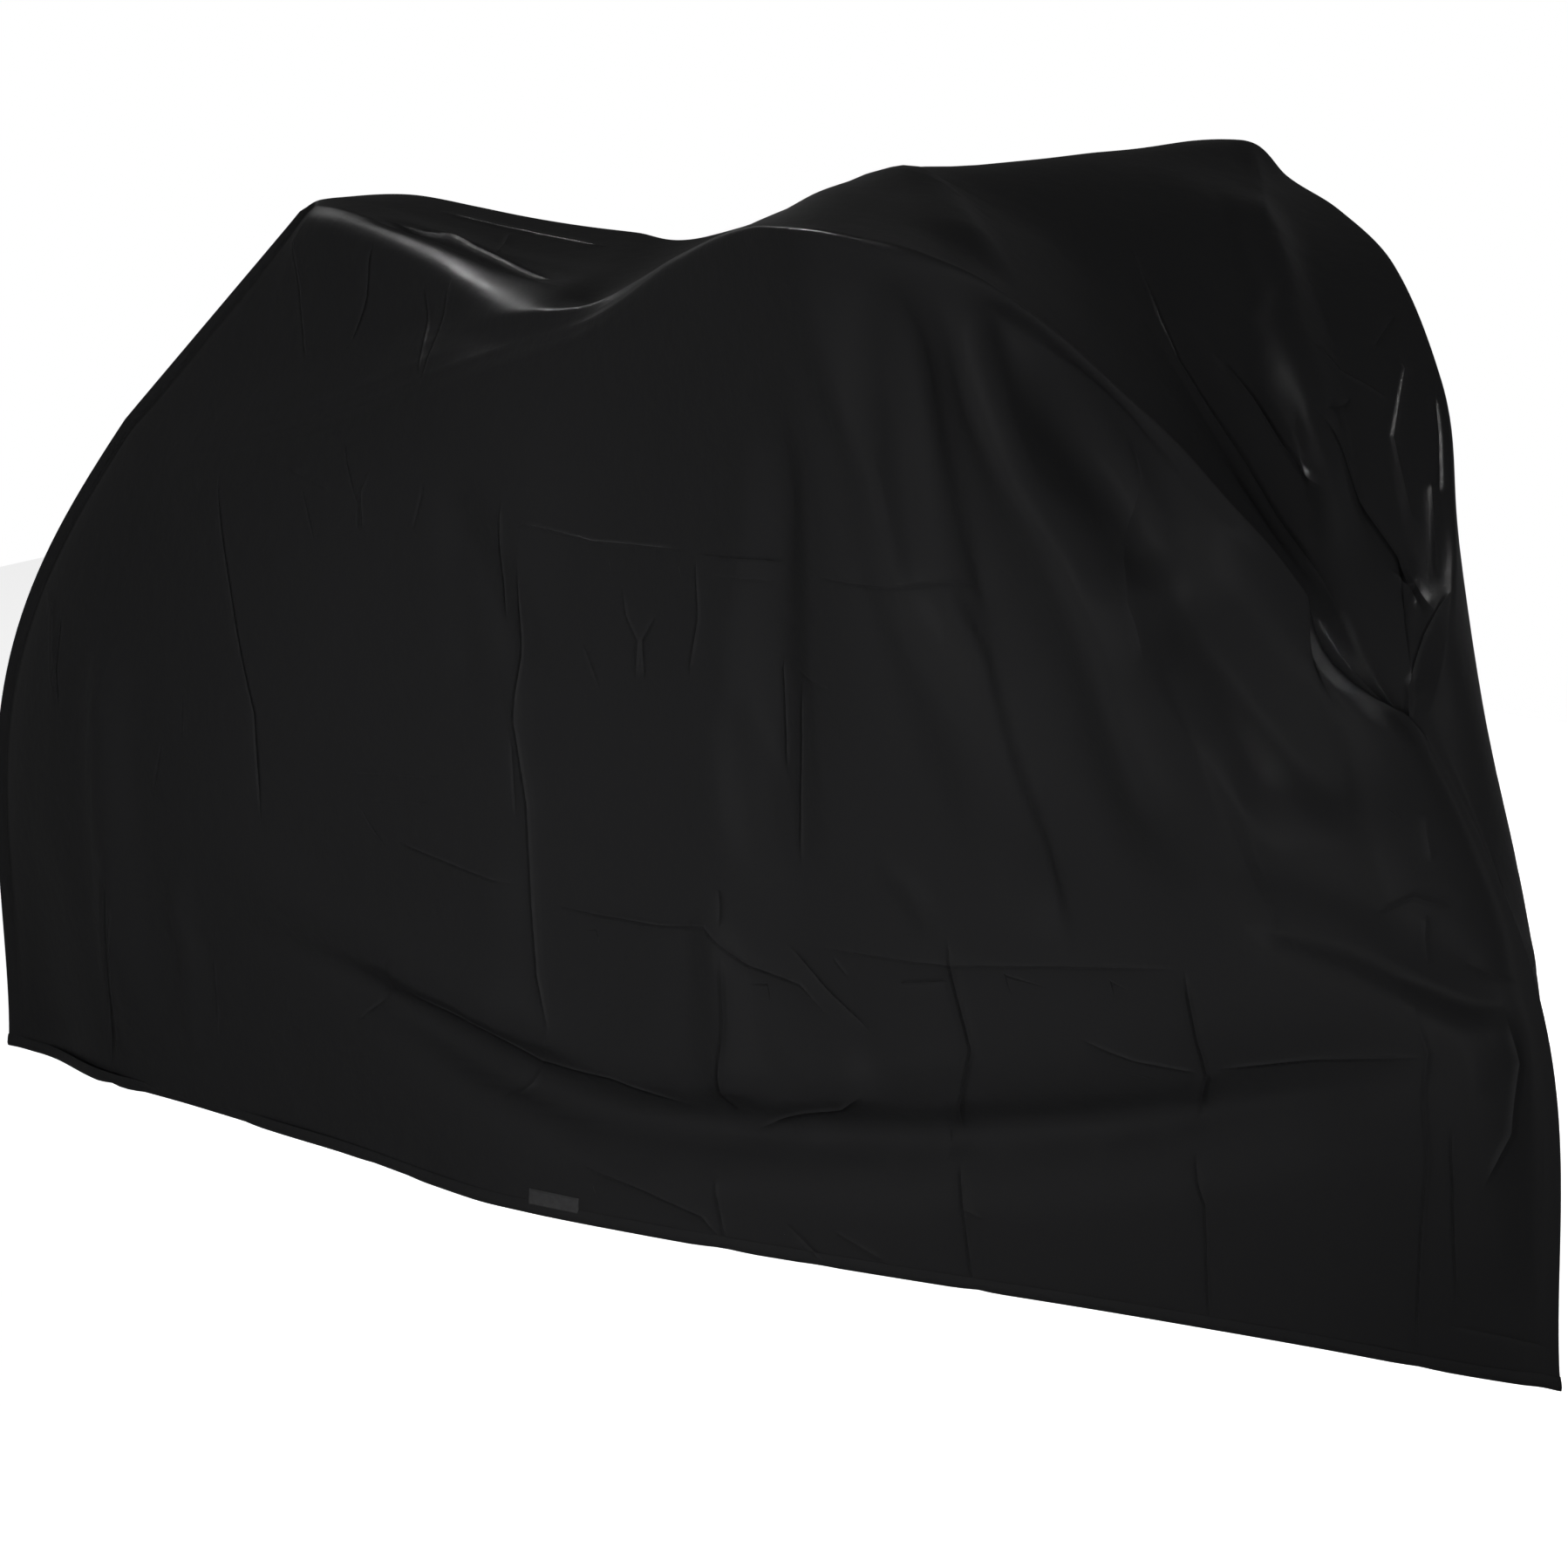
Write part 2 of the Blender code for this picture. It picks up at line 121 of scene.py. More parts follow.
FAR_RIDGE = (
    RidgeRow(0.00, -0.150, 0.000, 0.776),
    RidgeRow(0.05, -0.100, 0.035, 0.780),
    RidgeRow(0.12, -0.005, 0.080, 0.790),
    RidgeRow(0.20, 0.120, 0.120, 0.830),
    RidgeRow(0.28, 0.250, 0.145, 0.870),
    RidgeRow(0.36, 0.380, 0.155, 0.920),
    RidgeRow(0.42, 0.470, 0.155, 0.960),
    RidgeRow(0.47, 0.530, 0.160, 0.990),
    RidgeRow(0.53, 0.680, 0.220, 1.045),
    RidgeRow(0.60, 0.840, 0.310, 1.095),
    RidgeRow(0.67, 0.959, 0.370, 1.116),
    RidgeRow(0.71, 1.009, 0.370, 1.088),
    RidgeRow(0.76, 1.082, 0.350, 1.065),
    RidgeRow(0.80, 1.173, 0.300, 1.031),
    RidgeRow(0.85, 1.286, 0.210, 0.951),
    RidgeRow(0.89, 1.358, 0.120, 0.871),
    RidgeRow(0.93, 1.405, 0.050, 0.805),
    RidgeRow(0.96, 1.420, 0.015, 0.750),
    RidgeRow(1.00, 1.412, 0.000, 0.679),
)

NEAR_CREST = (
    RidgeRow(0.00, 0.097, 0.000, 1.012),
    RidgeRow(0.10, 0.130, -0.020, 1.020),
    RidgeRow(0.20, 0.190, -0.045, 1.026),
    RidgeRow(0.28, 0.280, -0.065, 1.020),
    RidgeRow(0.36, 0.420, -0.090, 1.003),
    RidgeRow(0.42, 0.520, -0.108, 0.993),
    RidgeRow(0.47, 0.585, -0.118, 0.985),
    RidgeRow(0.53, 0.700, -0.115, 1.050),
    RidgeRow(0.60, 0.825, -0.150, 1.102),
    RidgeRow(0.67, 0.915, -0.190, 1.128),
    RidgeRow(0.72, 1.020, -0.170, 1.100),
    RidgeRow(0.76, 1.090, -0.160, 1.050),
    RidgeRow(0.80, 1.140, -0.140, 1.000),
    RidgeRow(0.85, 1.200, -0.100, 0.930),
    RidgeRow(0.89, 1.250, -0.060, 0.860),
    RidgeRow(0.93, 1.305, -0.030, 0.780),
    RidgeRow(0.96, 1.340, -0.020, 0.735),
    RidgeRow(1.00, 1.405, 0.000, 0.676),
)

FAR_CREST = (
    RidgeRow(0.00, 0.097, 0.000, 1.012),
    RidgeRow(0.10, 0.120, 0.030, 1.022),
    RidgeRow(0.20, 0.175, 0.070, 1.027),
    RidgeRow(0.28, 0.250, 0.090, 1.020),
    RidgeRow(0.36, 0.360, 0.100, 1.012),
    RidgeRow(0.42, 0.430, 0.110, 1.008),
    RidgeRow(0.47, 0.490, 0.120, 1.008),
    RidgeRow(0.53, 0.640, 0.130, 1.055),
    RidgeRow(0.60, 0.820, 0.170, 1.098),
    RidgeRow(0.67, 0.925, 0.200, 1.117),
    RidgeRow(0.72, 1.040, 0.200, 1.090),
    RidgeRow(0.76, 1.110, 0.190, 1.050),
    RidgeRow(0.80, 1.160, 0.170, 1.010),
    RidgeRow(0.85, 1.240, 0.140, 0.950),
    RidgeRow(0.89, 1.290, 0.100, 0.890),
    RidgeRow(0.93, 1.340, 0.060, 0.820),
    RidgeRow(0.96, 1.370, 0.030, 0.760),
    RidgeRow(1.00, 1.405, 0.000, 0.676),
)

MIDDLE = (
    RidgeRow(0.00, 0.097, 0.000, 1.012),
    RidgeRow(0.10, 0.125, 0.000, 1.025),
    RidgeRow(0.20, 0.180, 0.010, 1.028),
    RidgeRow(0.28, 0.265, 0.010, 1.014),
    RidgeRow(0.36, 0.390, 0.005, 1.000),
    RidgeRow(0.42, 0.480, 0.000, 0.995),
    RidgeRow(0.47, 0.555, 0.000, 1.000),
    RidgeRow(0.53, 0.680, 0.000, 1.064),
    RidgeRow(0.60, 0.800, -0.010, 1.103),
    RidgeRow(0.67, 0.880, -0.030, 1.124),
    RidgeRow(0.72, 1.000, 0.000, 1.075),
    RidgeRow(0.76, 1.070, 0.010, 1.020),
    RidgeRow(0.80, 1.130, 0.010, 0.970),
    RidgeRow(0.85, 1.200, 0.010, 0.900),
    RidgeRow(0.89, 1.260, 0.010, 0.835),
    RidgeRow(0.93, 1.320, 0.005, 0.770),
    RidgeRow(0.96, 1.360, 0.000, 0.720),
    RidgeRow(1.00, 1.400, 0.000, 0.675),
)

FOLDS = (
    Fold("near", ((0.96, 1.09), (1.03, 0.90), (1.04, 0.79), (1.13, 0.50)), 0.014, 0.030, 0.070),
    Fold("near", ((1.13, 1.08), (1.17, 0.84), (1.25, 0.62), (1.31, 0.50)), 0.018, 0.035, 0.080),
    Fold("near", ((1.05, 1.09), (1.06, 0.86), (1.07, 0.68)), -0.014, 0.025, 0.050),
    Fold("near", ((1.17, 1.02), (1.26, 0.80), (1.34, 0.66), (1.42, 0.58)), -0.024, 0.035, 0.060),
    Fold("near", ((0.92, 0.98), (0.86, 0.72), (0.83, 0.46)), -0.016, 0.040, 0.070),
    Fold("near", ((0.42, 0.82), (0.50, 0.72), (0.55, 0.62)), -0.010, 0.040, 0.050),
    Fold("near", ((0.10, 0.38), (0.36, 0.33), (0.60, 0.29)), 0.012, 0.050, 0.050),
    Fold("near", ((0.12, 0.33), (0.44, 0.26), (0.65, 0.22), (1.00, 0.25), (1.25, 0.31), (1.48, 0.38)),
         -0.020, 0.050, 0.050),
    Fold("near", ((1.30, 0.56), (1.43, 0.49), (1.53, 0.44)), -0.006, 0.040, 0.030),
    Fold("near", ((0.77, 0.47), (0.77, 0.24)), 0.010, 0.030, 0.040),
    Fold("near", ((0.78, 0.25), (0.94, 0.32)), 0.008, 0.030, 0.050),
    Fold("near", ((-0.08, 0.62), (-0.06, 0.12)), 0.012, 0.040, 0.060),
    Fold("near", ((1.49, 0.46), (1.51, 0.18)), 0.008, 0.025, 0.030),
    Fold("top", ((1.03, 0.27), (1.11, 0.19), (1.20, 0.12), (1.28, 0.05), (1.34, 0.02)), 0.014, 0.040, 0.020),
    Fold("top", ((1.03, 0.07), (1.18, 0.02), (1.31, 0.00)), -0.012, 0.040, 0.020),
    Fold("top", ((0.86, -0.05), (0.97, -0.11), (1.08, -0.20)), 0.016, 0.050, 0.060),
    Fold("top", ((0.23, -0.04), (0.35, -0.05), (0.52, -0.08)), -0.010, 0.020, 0.035),
    Fold("far", ((0.95, 1.08), (0.93, 0.80), (0.96, 0.42)), 0.016, 0.035, 0.080),
    Fold("far", ((1.06, 1.02), (1.14, 0.74), (1.20, 0.50)), 0.014, 0.035, 0.070),
    Fold("far", ((1.00, 1.04), (1.04, 0.78), (1.08, 0.50)), -0.016, 0.030, 0.060),
    Fold("far", ((1.20, 0.96), (1.28, 0.72), (1.40, 0.56)), -0.018, 0.035, 0.060),
    Fold("far", ((0.80, 0.98), (0.72, 0.70), (0.66, 0.40)), -0.012, 0.040, 0.080),
    Fold("far", ((0.05, 0.40), (0.40, 0.30), (0.80, 0.26), (1.20, 0.33), (1.46, 0.42)), -0.016, 0.060, 0.060),
    Fold("far", ((0.30, 0.80), (0.22, 0.50), (0.18, 0.20)), 0.010, 0.040, 0.070),
)
FOLD_TAPER = 0.25

# How far the two end seams bow out of a straight line, and the share of the length that the bow reaches
BACK_BOW = 0.100
BACK_BOW_EXPONENT = 1.23
BACK_BOW_REACH = 0.30
FRONT_BOW = 0.064
FRONT_BOW_EXPONENT = 1.25
FRONT_BOW_REACH = 0.22

# The ledge beside the rear hump, between ridge and crest, is flat at the back and fades out further on
LEDGE_FLATNESS = 0.55
LEDGE_FADE_START = 0.28
LEDGE_FADE_END = 0.42

# Behind this share a side's folds run up to its crest, and in front of it to its ridge
EDGE_CHANGE = 0.50

# The hollow behind the lip at the front
POCKET_DEPTH = 0.022
POCKET_START = 0.90
POCKET_FULL = 0.95
POCKET_DIRECTION = np.array((0.66, 0.0, 0.75))

# ---------------------------------------------------------------------------------------------------------
# What the looks add to it
# ---------------------------------------------------------------------------------------------------------

# How softly the sheet turns over its ridges and crests: the spread of each turn, in metres
TurnRow = namedtuple("TurnRow", "share ridge crest")
TURNS = (
    TurnRow(0.00, 0.003, 0.003),
    TurnRow(0.05, 0.008, 0.004),
    TurnRow(0.15, 0.028, 0.003),
    TurnRow(0.36, 0.042, 0.003),
    TurnRow(0.44, 0.044, 0.003),
    TurnRow(0.47, 0.036, 0.003),
    TurnRow(0.50, 0.024, 0.010),
    TurnRow(0.53, 0.014, 0.018),
    TurnRow(0.56, 0.010, 0.022),
    TurnRow(0.62, 0.008, 0.020),
    TurnRow(0.72, 0.006, 0.018),
    TurnRow(0.85, 0.004, 0.012),
    TurnRow(0.92, 0.002, 0.006),
    TurnRow(0.96, 0.001, 0.003),
    TurnRow(1.00, 0.001, 0.002),
)
TURN_TAPS = np.linspace(-2.0, 2.0, 9)  # where the sheet is read for a turn, in spreads
TURN_CHANGE = (1.25, 1.75)  # between these places the ridge's spread gives way to the crest's
HEM_CALM = 2.5  # a turn's spread is at most the distance to the hem divided by this

# The lip beside the pinch at the front: a narrow strip that turns in along the near ridge, before the pocket.
# amount is how much of it there is, from 0 to 1.
LipRow = namedtuple("LipRow", "share amount width")
LIP = (
    LipRow(0.000, 0.0, 0.010),
    LipRow(0.922, 0.0, 0.010),
    LipRow(0.936, 1.0, 0.016),
    LipRow(0.950, 1.0, 0.020),
    LipRow(0.960, 1.0, 0.015),
    LipRow(0.975, 1.0, 0.011),
    LipRow(0.990, 1.0, 0.006),
    LipRow(1.000, 0.0, 0.002),
)
LIP_DIRECTION = np.array((0.05, 0.81, 0.59))
LIP_FADE = 0.012

# Where two faces meet at more than about 60 degrees, the sheet is evened out, away from its hem and its ends.
RELAX_COSINE = 0.5
RELAX_RINGS = 2
RELAX_ROUNDS = 24
RELAX_STEP = 0.5
RELAX_FROM_HEM = 0.04
RELAX_FROM_END = 0.02

# The edge of the rear hump is a roll: the sheet stands out just below its near crest
RollRow = namedtuple("RollRow", "share bulge")
ROLL = (
    RollRow(0.00, 0.000),
    RollRow(0.09, 0.003),
    RollRow(0.13, 0.014),
    RollRow(0.28, 0.020),
    RollRow(0.43, 0.020),
    RollRow(0.475, 0.014),
    RollRow(0.52, 0.004),
    RollRow(0.56, 0.000),
    RollRow(1.00, 0.000),
)
ROLL_BEND = 0.015
ROLL_END = 0.090

# Creases from folding and wear. size is how far one rises or sinks. A ridge or groove has a sharp line, and a
# swell or dip is soft. width is how far it reaches on each side of its path.
Crease = namedtuple("Crease", "kind size width path")
NEAR_CREASES = (
    # The near side's upright creases, from back to front
    Crease("ridge", 0.0020, 0.0078, ((-0.240, 0.595), (-0.211, 0.583), (-0.195, 0.540), (-0.181, 0.498))),
    Crease("groove", 0.0020, 0.0069, ((-0.185, 0.581), (-0.182, 0.527), (-0.166, 0.485))),
    Crease("groove", 0.0029, 0.0097, ((-0.073, 0.346), (-0.095, 0.233), (-0.128, 0.111))),
    Crease("ridge", 0.0020, 0.0078, ((-0.062, 0.318), (-0.084, 0.230), (-0.113, 0.125))),
    Crease("groove", 0.0009, 0.0059, ((0.055, 0.548), (0.055, 0.503))),
    Crease("groove", 0.0009, 0.0059, ((0.020, 0.492), (0.002, 0.432))),
    Crease("swell", 0.0060, 0.0260, ((0.060, 0.385), (0.030, 0.325), (0.045, 0.270), (0.018, 0.145))),
    Crease("ridge", 0.0009, 0.0059, ((0.080, 0.298), (0.073, 0.191))),
    Crease("groove", 0.0026, 0.0097, ((0.085, 0.778), (0.104, 0.714), (0.124, 0.664), (0.148, 0.594),
        (0.166, 0.545), (0.171, 0.460), (0.172, 0.422))),
    Crease("groove", 0.0012, 0.0069, ((0.228, 0.777), (0.253, 0.728))),
    Crease("groove", 0.0009, 0.0059, ((0.200, 0.790), (0.275, 0.778))),
    Crease("groove", 0.0012, 0.0069, ((0.284, 0.831), (0.300, 0.797), (0.314, 0.770), (0.313, 0.743))),
    Crease("ridge", 0.0012, 0.0069, ((0.330, 0.805), (0.319, 0.783), (0.323, 0.745))),
    Crease("groove", 0.0012, 0.0069, ((0.407, 0.802), (0.392, 0.758))),
    Crease("dip", 0.0030, 0.0360, ((0.429, 0.760), (0.458, 0.691), (0.482, 0.610))),
    Crease("ridge", 0.0020, 0.0175, ((0.460, 0.751), (0.487, 0.699), (0.523, 0.629), (0.538, 0.583))),
    Crease("ridge", 0.0020, 0.0078, ((0.516, 0.807), (0.515, 0.686))),
    Crease("ridge", 0.0029, 0.0097, ((0.538, 0.772), (0.538, 0.658), (0.533, 0.595), (0.547, 0.518),
        (0.549, 0.423), (0.553, 0.353), (0.565, 0.308), (0.556, 0.270))),
    Crease("groove", 0.0012, 0.0059, ((0.527, 0.585), (0.532, 0.505))),
    Crease("ridge", 0.0016, 0.0069, ((0.550, 0.269), (0.506, 0.229))),
    Crease("ridge", 0.0020, 0.0078, ((0.769, 0.787), (0.770, 0.732), (0.752, 0.671))),
    Crease("groove", 0.0012, 0.0059, ((0.617, 0.682), (0.637, 0.643))),
    Crease("ridge", 0.0016, 0.0069, ((0.667, 0.745), (0.673, 0.717), (0.687, 0.696), (0.683, 0.657))),
    Crease("groove", 0.0016, 0.0069, ((0.710, 0.723), (0.691, 0.697), (0.694, 0.659))),
    Crease("dip", 0.0030, 0.0240, ((0.794, 0.662), (0.798, 0.611), (0.806, 0.558), (0.819, 0.498))),
    Crease("ridge", 0.0023, 0.0175, ((0.811, 0.674), (0.828, 0.639), (0.846, 0.584), (0.854, 0.536))),
    Crease("ridge", 0.0020, 0.0078, ((0.863, 0.710), (0.858, 0.598))),
    Crease("ridge", 0.0020, 0.0078, ((0.893, 0.694), (0.876, 0.569), (0.869, 0.506))),
    Crease("ridge", 0.0012, 0.0059, ((0.884, 0.701), (0.934, 0.691))),
    Crease("ridge", 0.0009, 0.0069, ((1.220, 0.940), (1.216, 0.850))),
    Crease("ridge", 0.0016, 0.0069, ((1.216, 0.850), (1.222, 0.800), (1.239, 0.749))),
    Crease("ridge", 0.0012, 0.0059, ((1.325, 0.534), (1.329, 0.507))),
    Crease("ridge", 0.0020, 0.0069, ((1.430, 0.621), (1.446, 0.578))),
    Crease("ridge", 0.0020, 0.0069, ((1.451, 0.536), (1.457, 0.489))),
    Crease("ridge", 0.0029, 0.0087, ((1.447, 0.467), (1.464, 0.416), (1.461, 0.377), (1.464, 0.320),
        (1.434, 0.115))),
    Crease("ridge", 0.0029, 0.0087, ((1.485, 0.362), (1.485, 0.290), (1.479, 0.169))),
    Crease("ridge", 0.0029, 0.0097, ((1.512, 0.449), (1.524, 0.407), (1.524, 0.344), (1.509, 0.295))),
    # The near side's level creases
    Crease("dip", 0.0020, 0.0400, ((-0.114, 0.771), (-0.025, 0.774), (0.089, 0.792), (0.240, 0.832),
        (0.317, 0.855), (0.416, 0.891))),
    Crease("ridge", 0.0016, 0.0069, ((0.303, 0.511), (0.434, 0.528))),
    Crease("ridge", 0.0012, 0.0059, ((0.330, 0.487), (0.420, 0.500))),
    Crease("ridge", 0.0029, 0.0087, ((0.365, 0.454), (0.436, 0.447), (0.508, 0.440), (0.530, 0.440))),
    Crease("groove", 0.0012, 0.0059, ((0.311, 0.482), (0.332, 0.460), (0.354, 0.442))),
    Crease("ridge", 0.0023, 0.0087, ((0.526, 0.776), (0.546, 0.786), (0.629, 0.781), (0.760, 0.792))),
    Crease("groove", 0.0020, 0.0087, ((0.770, 0.790), (0.883, 0.799))),
    Crease("ridge", 0.0012, 0.0069, ((0.790, 0.774), (0.885, 0.780))),
    Crease("ridge", 0.0020, 0.0087, ((0.934, 0.798), (1.038, 0.797), (1.110, 0.809))),
    Crease("ridge", 0.0033, 0.0097, ((0.567, 0.427), (0.634, 0.427), (0.704, 0.430), (0.761, 0.438),
        (0.775, 0.427), (0.802, 0.407), (0.857, 0.396), (0.887, 0.367))),
    Crease("ridge", 0.0020, 0.0078, ((0.875, 0.436), (1.019, 0.441), (1.116, 0.452), (1.247, 0.466))),
    Crease("groove", 0.0039, 0.0137, ((1.329, 0.509), (1.390, 0.498), (1.446, 0.478), (1.487, 0.458),
        (1.517, 0.456))),
    Crease("ridge", 0.0020, 0.0078, ((1.415, 0.535), (1.440, 0.550), (1.465, 0.540))),
    Crease("ridge", 0.0020, 0.0078, ((1.482, 0.493), (1.512, 0.475))),
    # The slack between the middle and the hem
    Crease("ridge", 0.0026, 0.0117, ((0.338, 0.300), (0.439, 0.289), (0.531, 0.261), (0.631, 0.263),
        (0.728, 0.242))),
    Crease("groove", 0.0012, 0.0059, ((0.338, 0.300), (0.294, 0.258))),
    Crease("groove", 0.0012, 0.0059, ((0.363, 0.340), (0.346, 0.309))),
    Crease("ridge", 0.0042, 0.0108, ((0.779, 0.418), (0.778, 0.344), (0.764, 0.265), (0.765, 0.240))),
    Crease("groove", 0.0020, 0.0078, ((0.775, 0.475), (0.776, 0.440))),
    Crease("groove", 0.0020, 0.0078, ((0.845, 0.434), (0.887, 0.394), (0.932, 0.361))),
    Crease("ridge", 0.0012, 0.0059, ((0.897, 0.429), (0.912, 0.413))),
    Crease("ridge", 0.0029, 0.0137, ((0.809, 0.352), (0.834, 0.319), (0.884, 0.311), (0.959, 0.328),
        (1.032, 0.353))),
    Crease("ridge", 0.0029, 0.0087, ((0.769, 0.230), (0.841, 0.258), (0.882, 0.269), (0.919, 0.297))),
    Crease("swell", 0.0040, 0.0160, ((0.955, 0.520), (0.985, 0.515), (1.010, 0.475))),
    Crease("groove", 0.0020, 0.0078, ((0.965, 0.415), (1.020, 0.425))),
    Crease("ridge", 0.0042, 0.0108, ((1.022, 0.471), (1.024, 0.429), (1.034, 0.360), (1.017, 0.312),
        (0.994, 0.259))),
    Crease("ridge", 0.0029, 0.0087, ((0.995, 0.243), (1.007, 0.203), (1.008, 0.144), (1.008, 0.127))),
    Crease("ridge", 0.0012, 0.0059, ((1.005, 0.200), (1.024, 0.193))),
    Crease("ridge", 0.0026, 0.0117, ((0.600, 0.177), (0.668, 0.165), (0.733, 0.149), (0.753, 0.128))),
    Crease("ridge", 0.0020, 0.0059, ((0.748, 0.190), (0.757, 0.129))),
    Crease("groove", 0.0012, 0.0059, ((0.821, 0.156), (0.854, 0.127))),
    Crease("ridge", 0.0012, 0.0059, ((0.870, 0.157), (0.921, 0.134))),
    Crease("ridge", 0.0042, 0.0108, ((1.247, 0.468), (1.256, 0.384), (1.257, 0.362), (1.230, 0.309))),
    Crease("ridge", 0.0029, 0.0087, ((1.232, 0.291), (1.246, 0.240), (1.237, 0.123))),
    Crease("ridge", 0.0020, 0.0087, ((1.140, 0.385), (1.190, 0.370), (1.250, 0.365))),
    Crease("ridge", 0.0023, 0.0087, ((1.261, 0.370), (1.359, 0.394), (1.461, 0.412))),
    Crease("groove", 0.0009, 0.0059, ((1.467, 0.160), (1.521, 0.156), (1.555, 0.149))),
    # The slope beside the rear hump
    Crease("ridge", 0.0029, 0.0117, ((0.118, 0.998), (0.179, 0.878))),
    Crease("groove", 0.0023, 0.0097, ((0.264, 1.011), (0.243, 0.903))),
    Crease("ridge", 0.0020, 0.0078, ((0.350, 0.981), (0.386, 0.896))),
    Crease("ridge", 0.0020, 0.0078, ((0.391, 0.989), (0.392, 0.892))),
)

# The top's paths hold lengths ahead and distances across. The near side's hold lengths ahead and heights.
TOP_CREASES = (
    Crease("ridge", 0.0045, 0.0126, ((1.140, 0.058), (1.187, 0.055), (1.222, 0.048), (1.277, 0.045))),
    Crease("ridge", 0.0045, 0.0126, ((1.034, 0.072), (1.074, 0.057), (1.123, 0.028), (1.200, 0.023),
        (1.258, 0.015), (1.317, 0.004))),
    Crease("tent", 0.0110, 0.0300, ((1.131, 0.139), (1.211, 0.086), (1.270, 0.054), (1.306, 0.030))),
    Crease("groove", 0.0040, 0.0117, ((1.234, 0.079), (1.340, 0.059), (1.384, 0.039))),
    Crease("ridge", 0.0029, 0.0087, ((1.241, 0.199), (1.260, 0.186), (1.291, 0.123), (1.338, 0.083),
        (1.352, 0.079))),
    Crease("groove", 0.0026, 0.0087, ((1.288, 0.193), (1.319, 0.154), (1.354, 0.103))),
    Crease("ridge", 0.0026, 0.0087, ((1.337, 0.114), (1.360, 0.086), (1.390, 0.051))),
    Crease("ridge", 0.0020, 0.0078, ((1.198, 0.126), (1.246, 0.142), (1.272, 0.148))),
    Crease("groove", 0.0020, 0.0078, ((1.244, 0.124), (1.244, 0.081))),
    Crease("ridge", 0.0020, 0.0078, ((1.338, 0.048), (1.363, 0.053), (1.396, 0.037))),
    Crease("groove", 0.0020, 0.0097, ((1.229, 0.182), (1.216, 0.236))),
    Crease("ridge", 0.0029, 0.0156, ((0.965, 0.366), (1.007, 0.316), (1.116, 0.175))),
    Crease("ridge", 0.0026, 0.0059, ((1.407, 0.046), (1.391, 0.028), (1.385, 0.012), (1.398, 0.000))),
    Crease("ridge", 0.0020, 0.0087, ((0.240, -0.040), (0.314, -0.022), (0.395, -0.040), (0.484, -0.067))),
    Crease("groove", 0.0023, 0.0097, ((0.303, -0.060), (0.420, -0.080), (0.527, -0.100))),
    Crease("ridge", 0.0020, 0.0087, ((0.235, 0.042), (0.336, 0.054), (0.446, 0.054))),
    Crease("ridge", 0.0012, 0.0069, ((0.331, 0.041), (0.379, -0.034))),
)

# Longer folds with flat sides, a tent up and a trough down. left and right are how far one reaches on each
# side of its path, seen along the path from outside.
Slope = namedtuple("Slope", "kind size left right path")
NEAR_SLOPES = (
    Slope("trough", 0.0150, 0.0600, 0.0500, ((1.071, 1.097), (1.062, 0.993), (1.051, 0.903),
        (1.045, 0.812), (1.042, 0.751))),
    Slope("trough", 0.0130, 0.0140, 0.0600, ((1.050, 0.806), (1.090, 0.741), (1.108, 0.651),
        (1.126, 0.575), (1.133, 0.467))),
    Slope("tent", 0.0100, 0.0600, 0.0400, ((1.125, 1.087), (1.128, 1.029), (1.139, 0.972), (1.161, 0.900),
        (1.191, 0.841), (1.209, 0.753), (1.224, 0.665), (1.258, 0.544))),
    Slope("trough", 0.0080, 0.0120, 0.0450, ((1.242, 0.763), (1.279, 0.667), (1.302, 0.593),
        (1.324, 0.505))),
    Slope("trough", 0.0280, 0.0900, 0.0450, ((1.142, 1.090), (1.168, 1.001), (1.195, 0.925),
        (1.222, 0.873), (1.250, 0.800))),
    Slope("trough", 0.0060, 0.0500, 0.0300, ((1.240, 0.790), (1.296, 0.704), (1.344, 0.654),
        (1.390, 0.610))),
    Slope("trough", 0.0100, 0.0550, 0.0200, ((1.290, 0.520), (1.329, 0.509), (1.390, 0.498),
        (1.446, 0.478), (1.487, 0.458), (1.530, 0.452))),
    Slope("trough", 0.0130, 0.0750, 0.0180, ((0.174, 0.338), (0.298, 0.288), (0.451, 0.248),
        (0.592, 0.221), (0.752, 0.225), (0.918, 0.246), (1.141, 0.292), (1.373, 0.365), (1.519, 0.409))),
)

Placed = namedtuple("Placed", "part kind size left right path")
CREASE_TAPER = 0.18
TENT_CROWN = 0.10  # how rounded a tent's or a trough's line is, as a part of its width

# The cover was packed with its two sides together, so the far side has the near side's fine creases too
TWIN_SHIFT = 0.012
TWIN_STRENGTH = 0.7
FINE_CREASE_WIDTH = 0.0135
LINE_REACH = 0.030  # how far from a fine crease the material is told of it
LINE_FADE_START = 0.006
LINE_FADE_END = 0.014
LINE_CHANNELS = 4  # fine creases close together are told on different channels
LINE_WIDTH = 0.0045  # half the width of the sharp line along a fine crease
PATH_SAMPLES = 12  # on each leg of a path, to find how close two creases come
FINE_FORM = 0.6  # how much of a fine crease's size is in the mesh, the material shows the rest

# The soft unevenness of the whole sheet, as waves. turn is in radians, up from the sheet's own length.
Wave = namedtuple("Wave", "length turn height phase")
SLACK = (
    Wave(0.34, 0.15, 0.0016, 0.4),
    Wave(0.21, -0.20, 0.0008, 1.9),
    Wave(0.26, 1.30, 0.0006, 3.1),
    Wave(0.11, 0.25, 0.0003, 5.2),
)
WAVE_SIDEWAYS = 0.8  # how much of the width counts as length along a wave
WAVE_BEND = 0.35
WAVE_BEND_LENGTH = 2.7
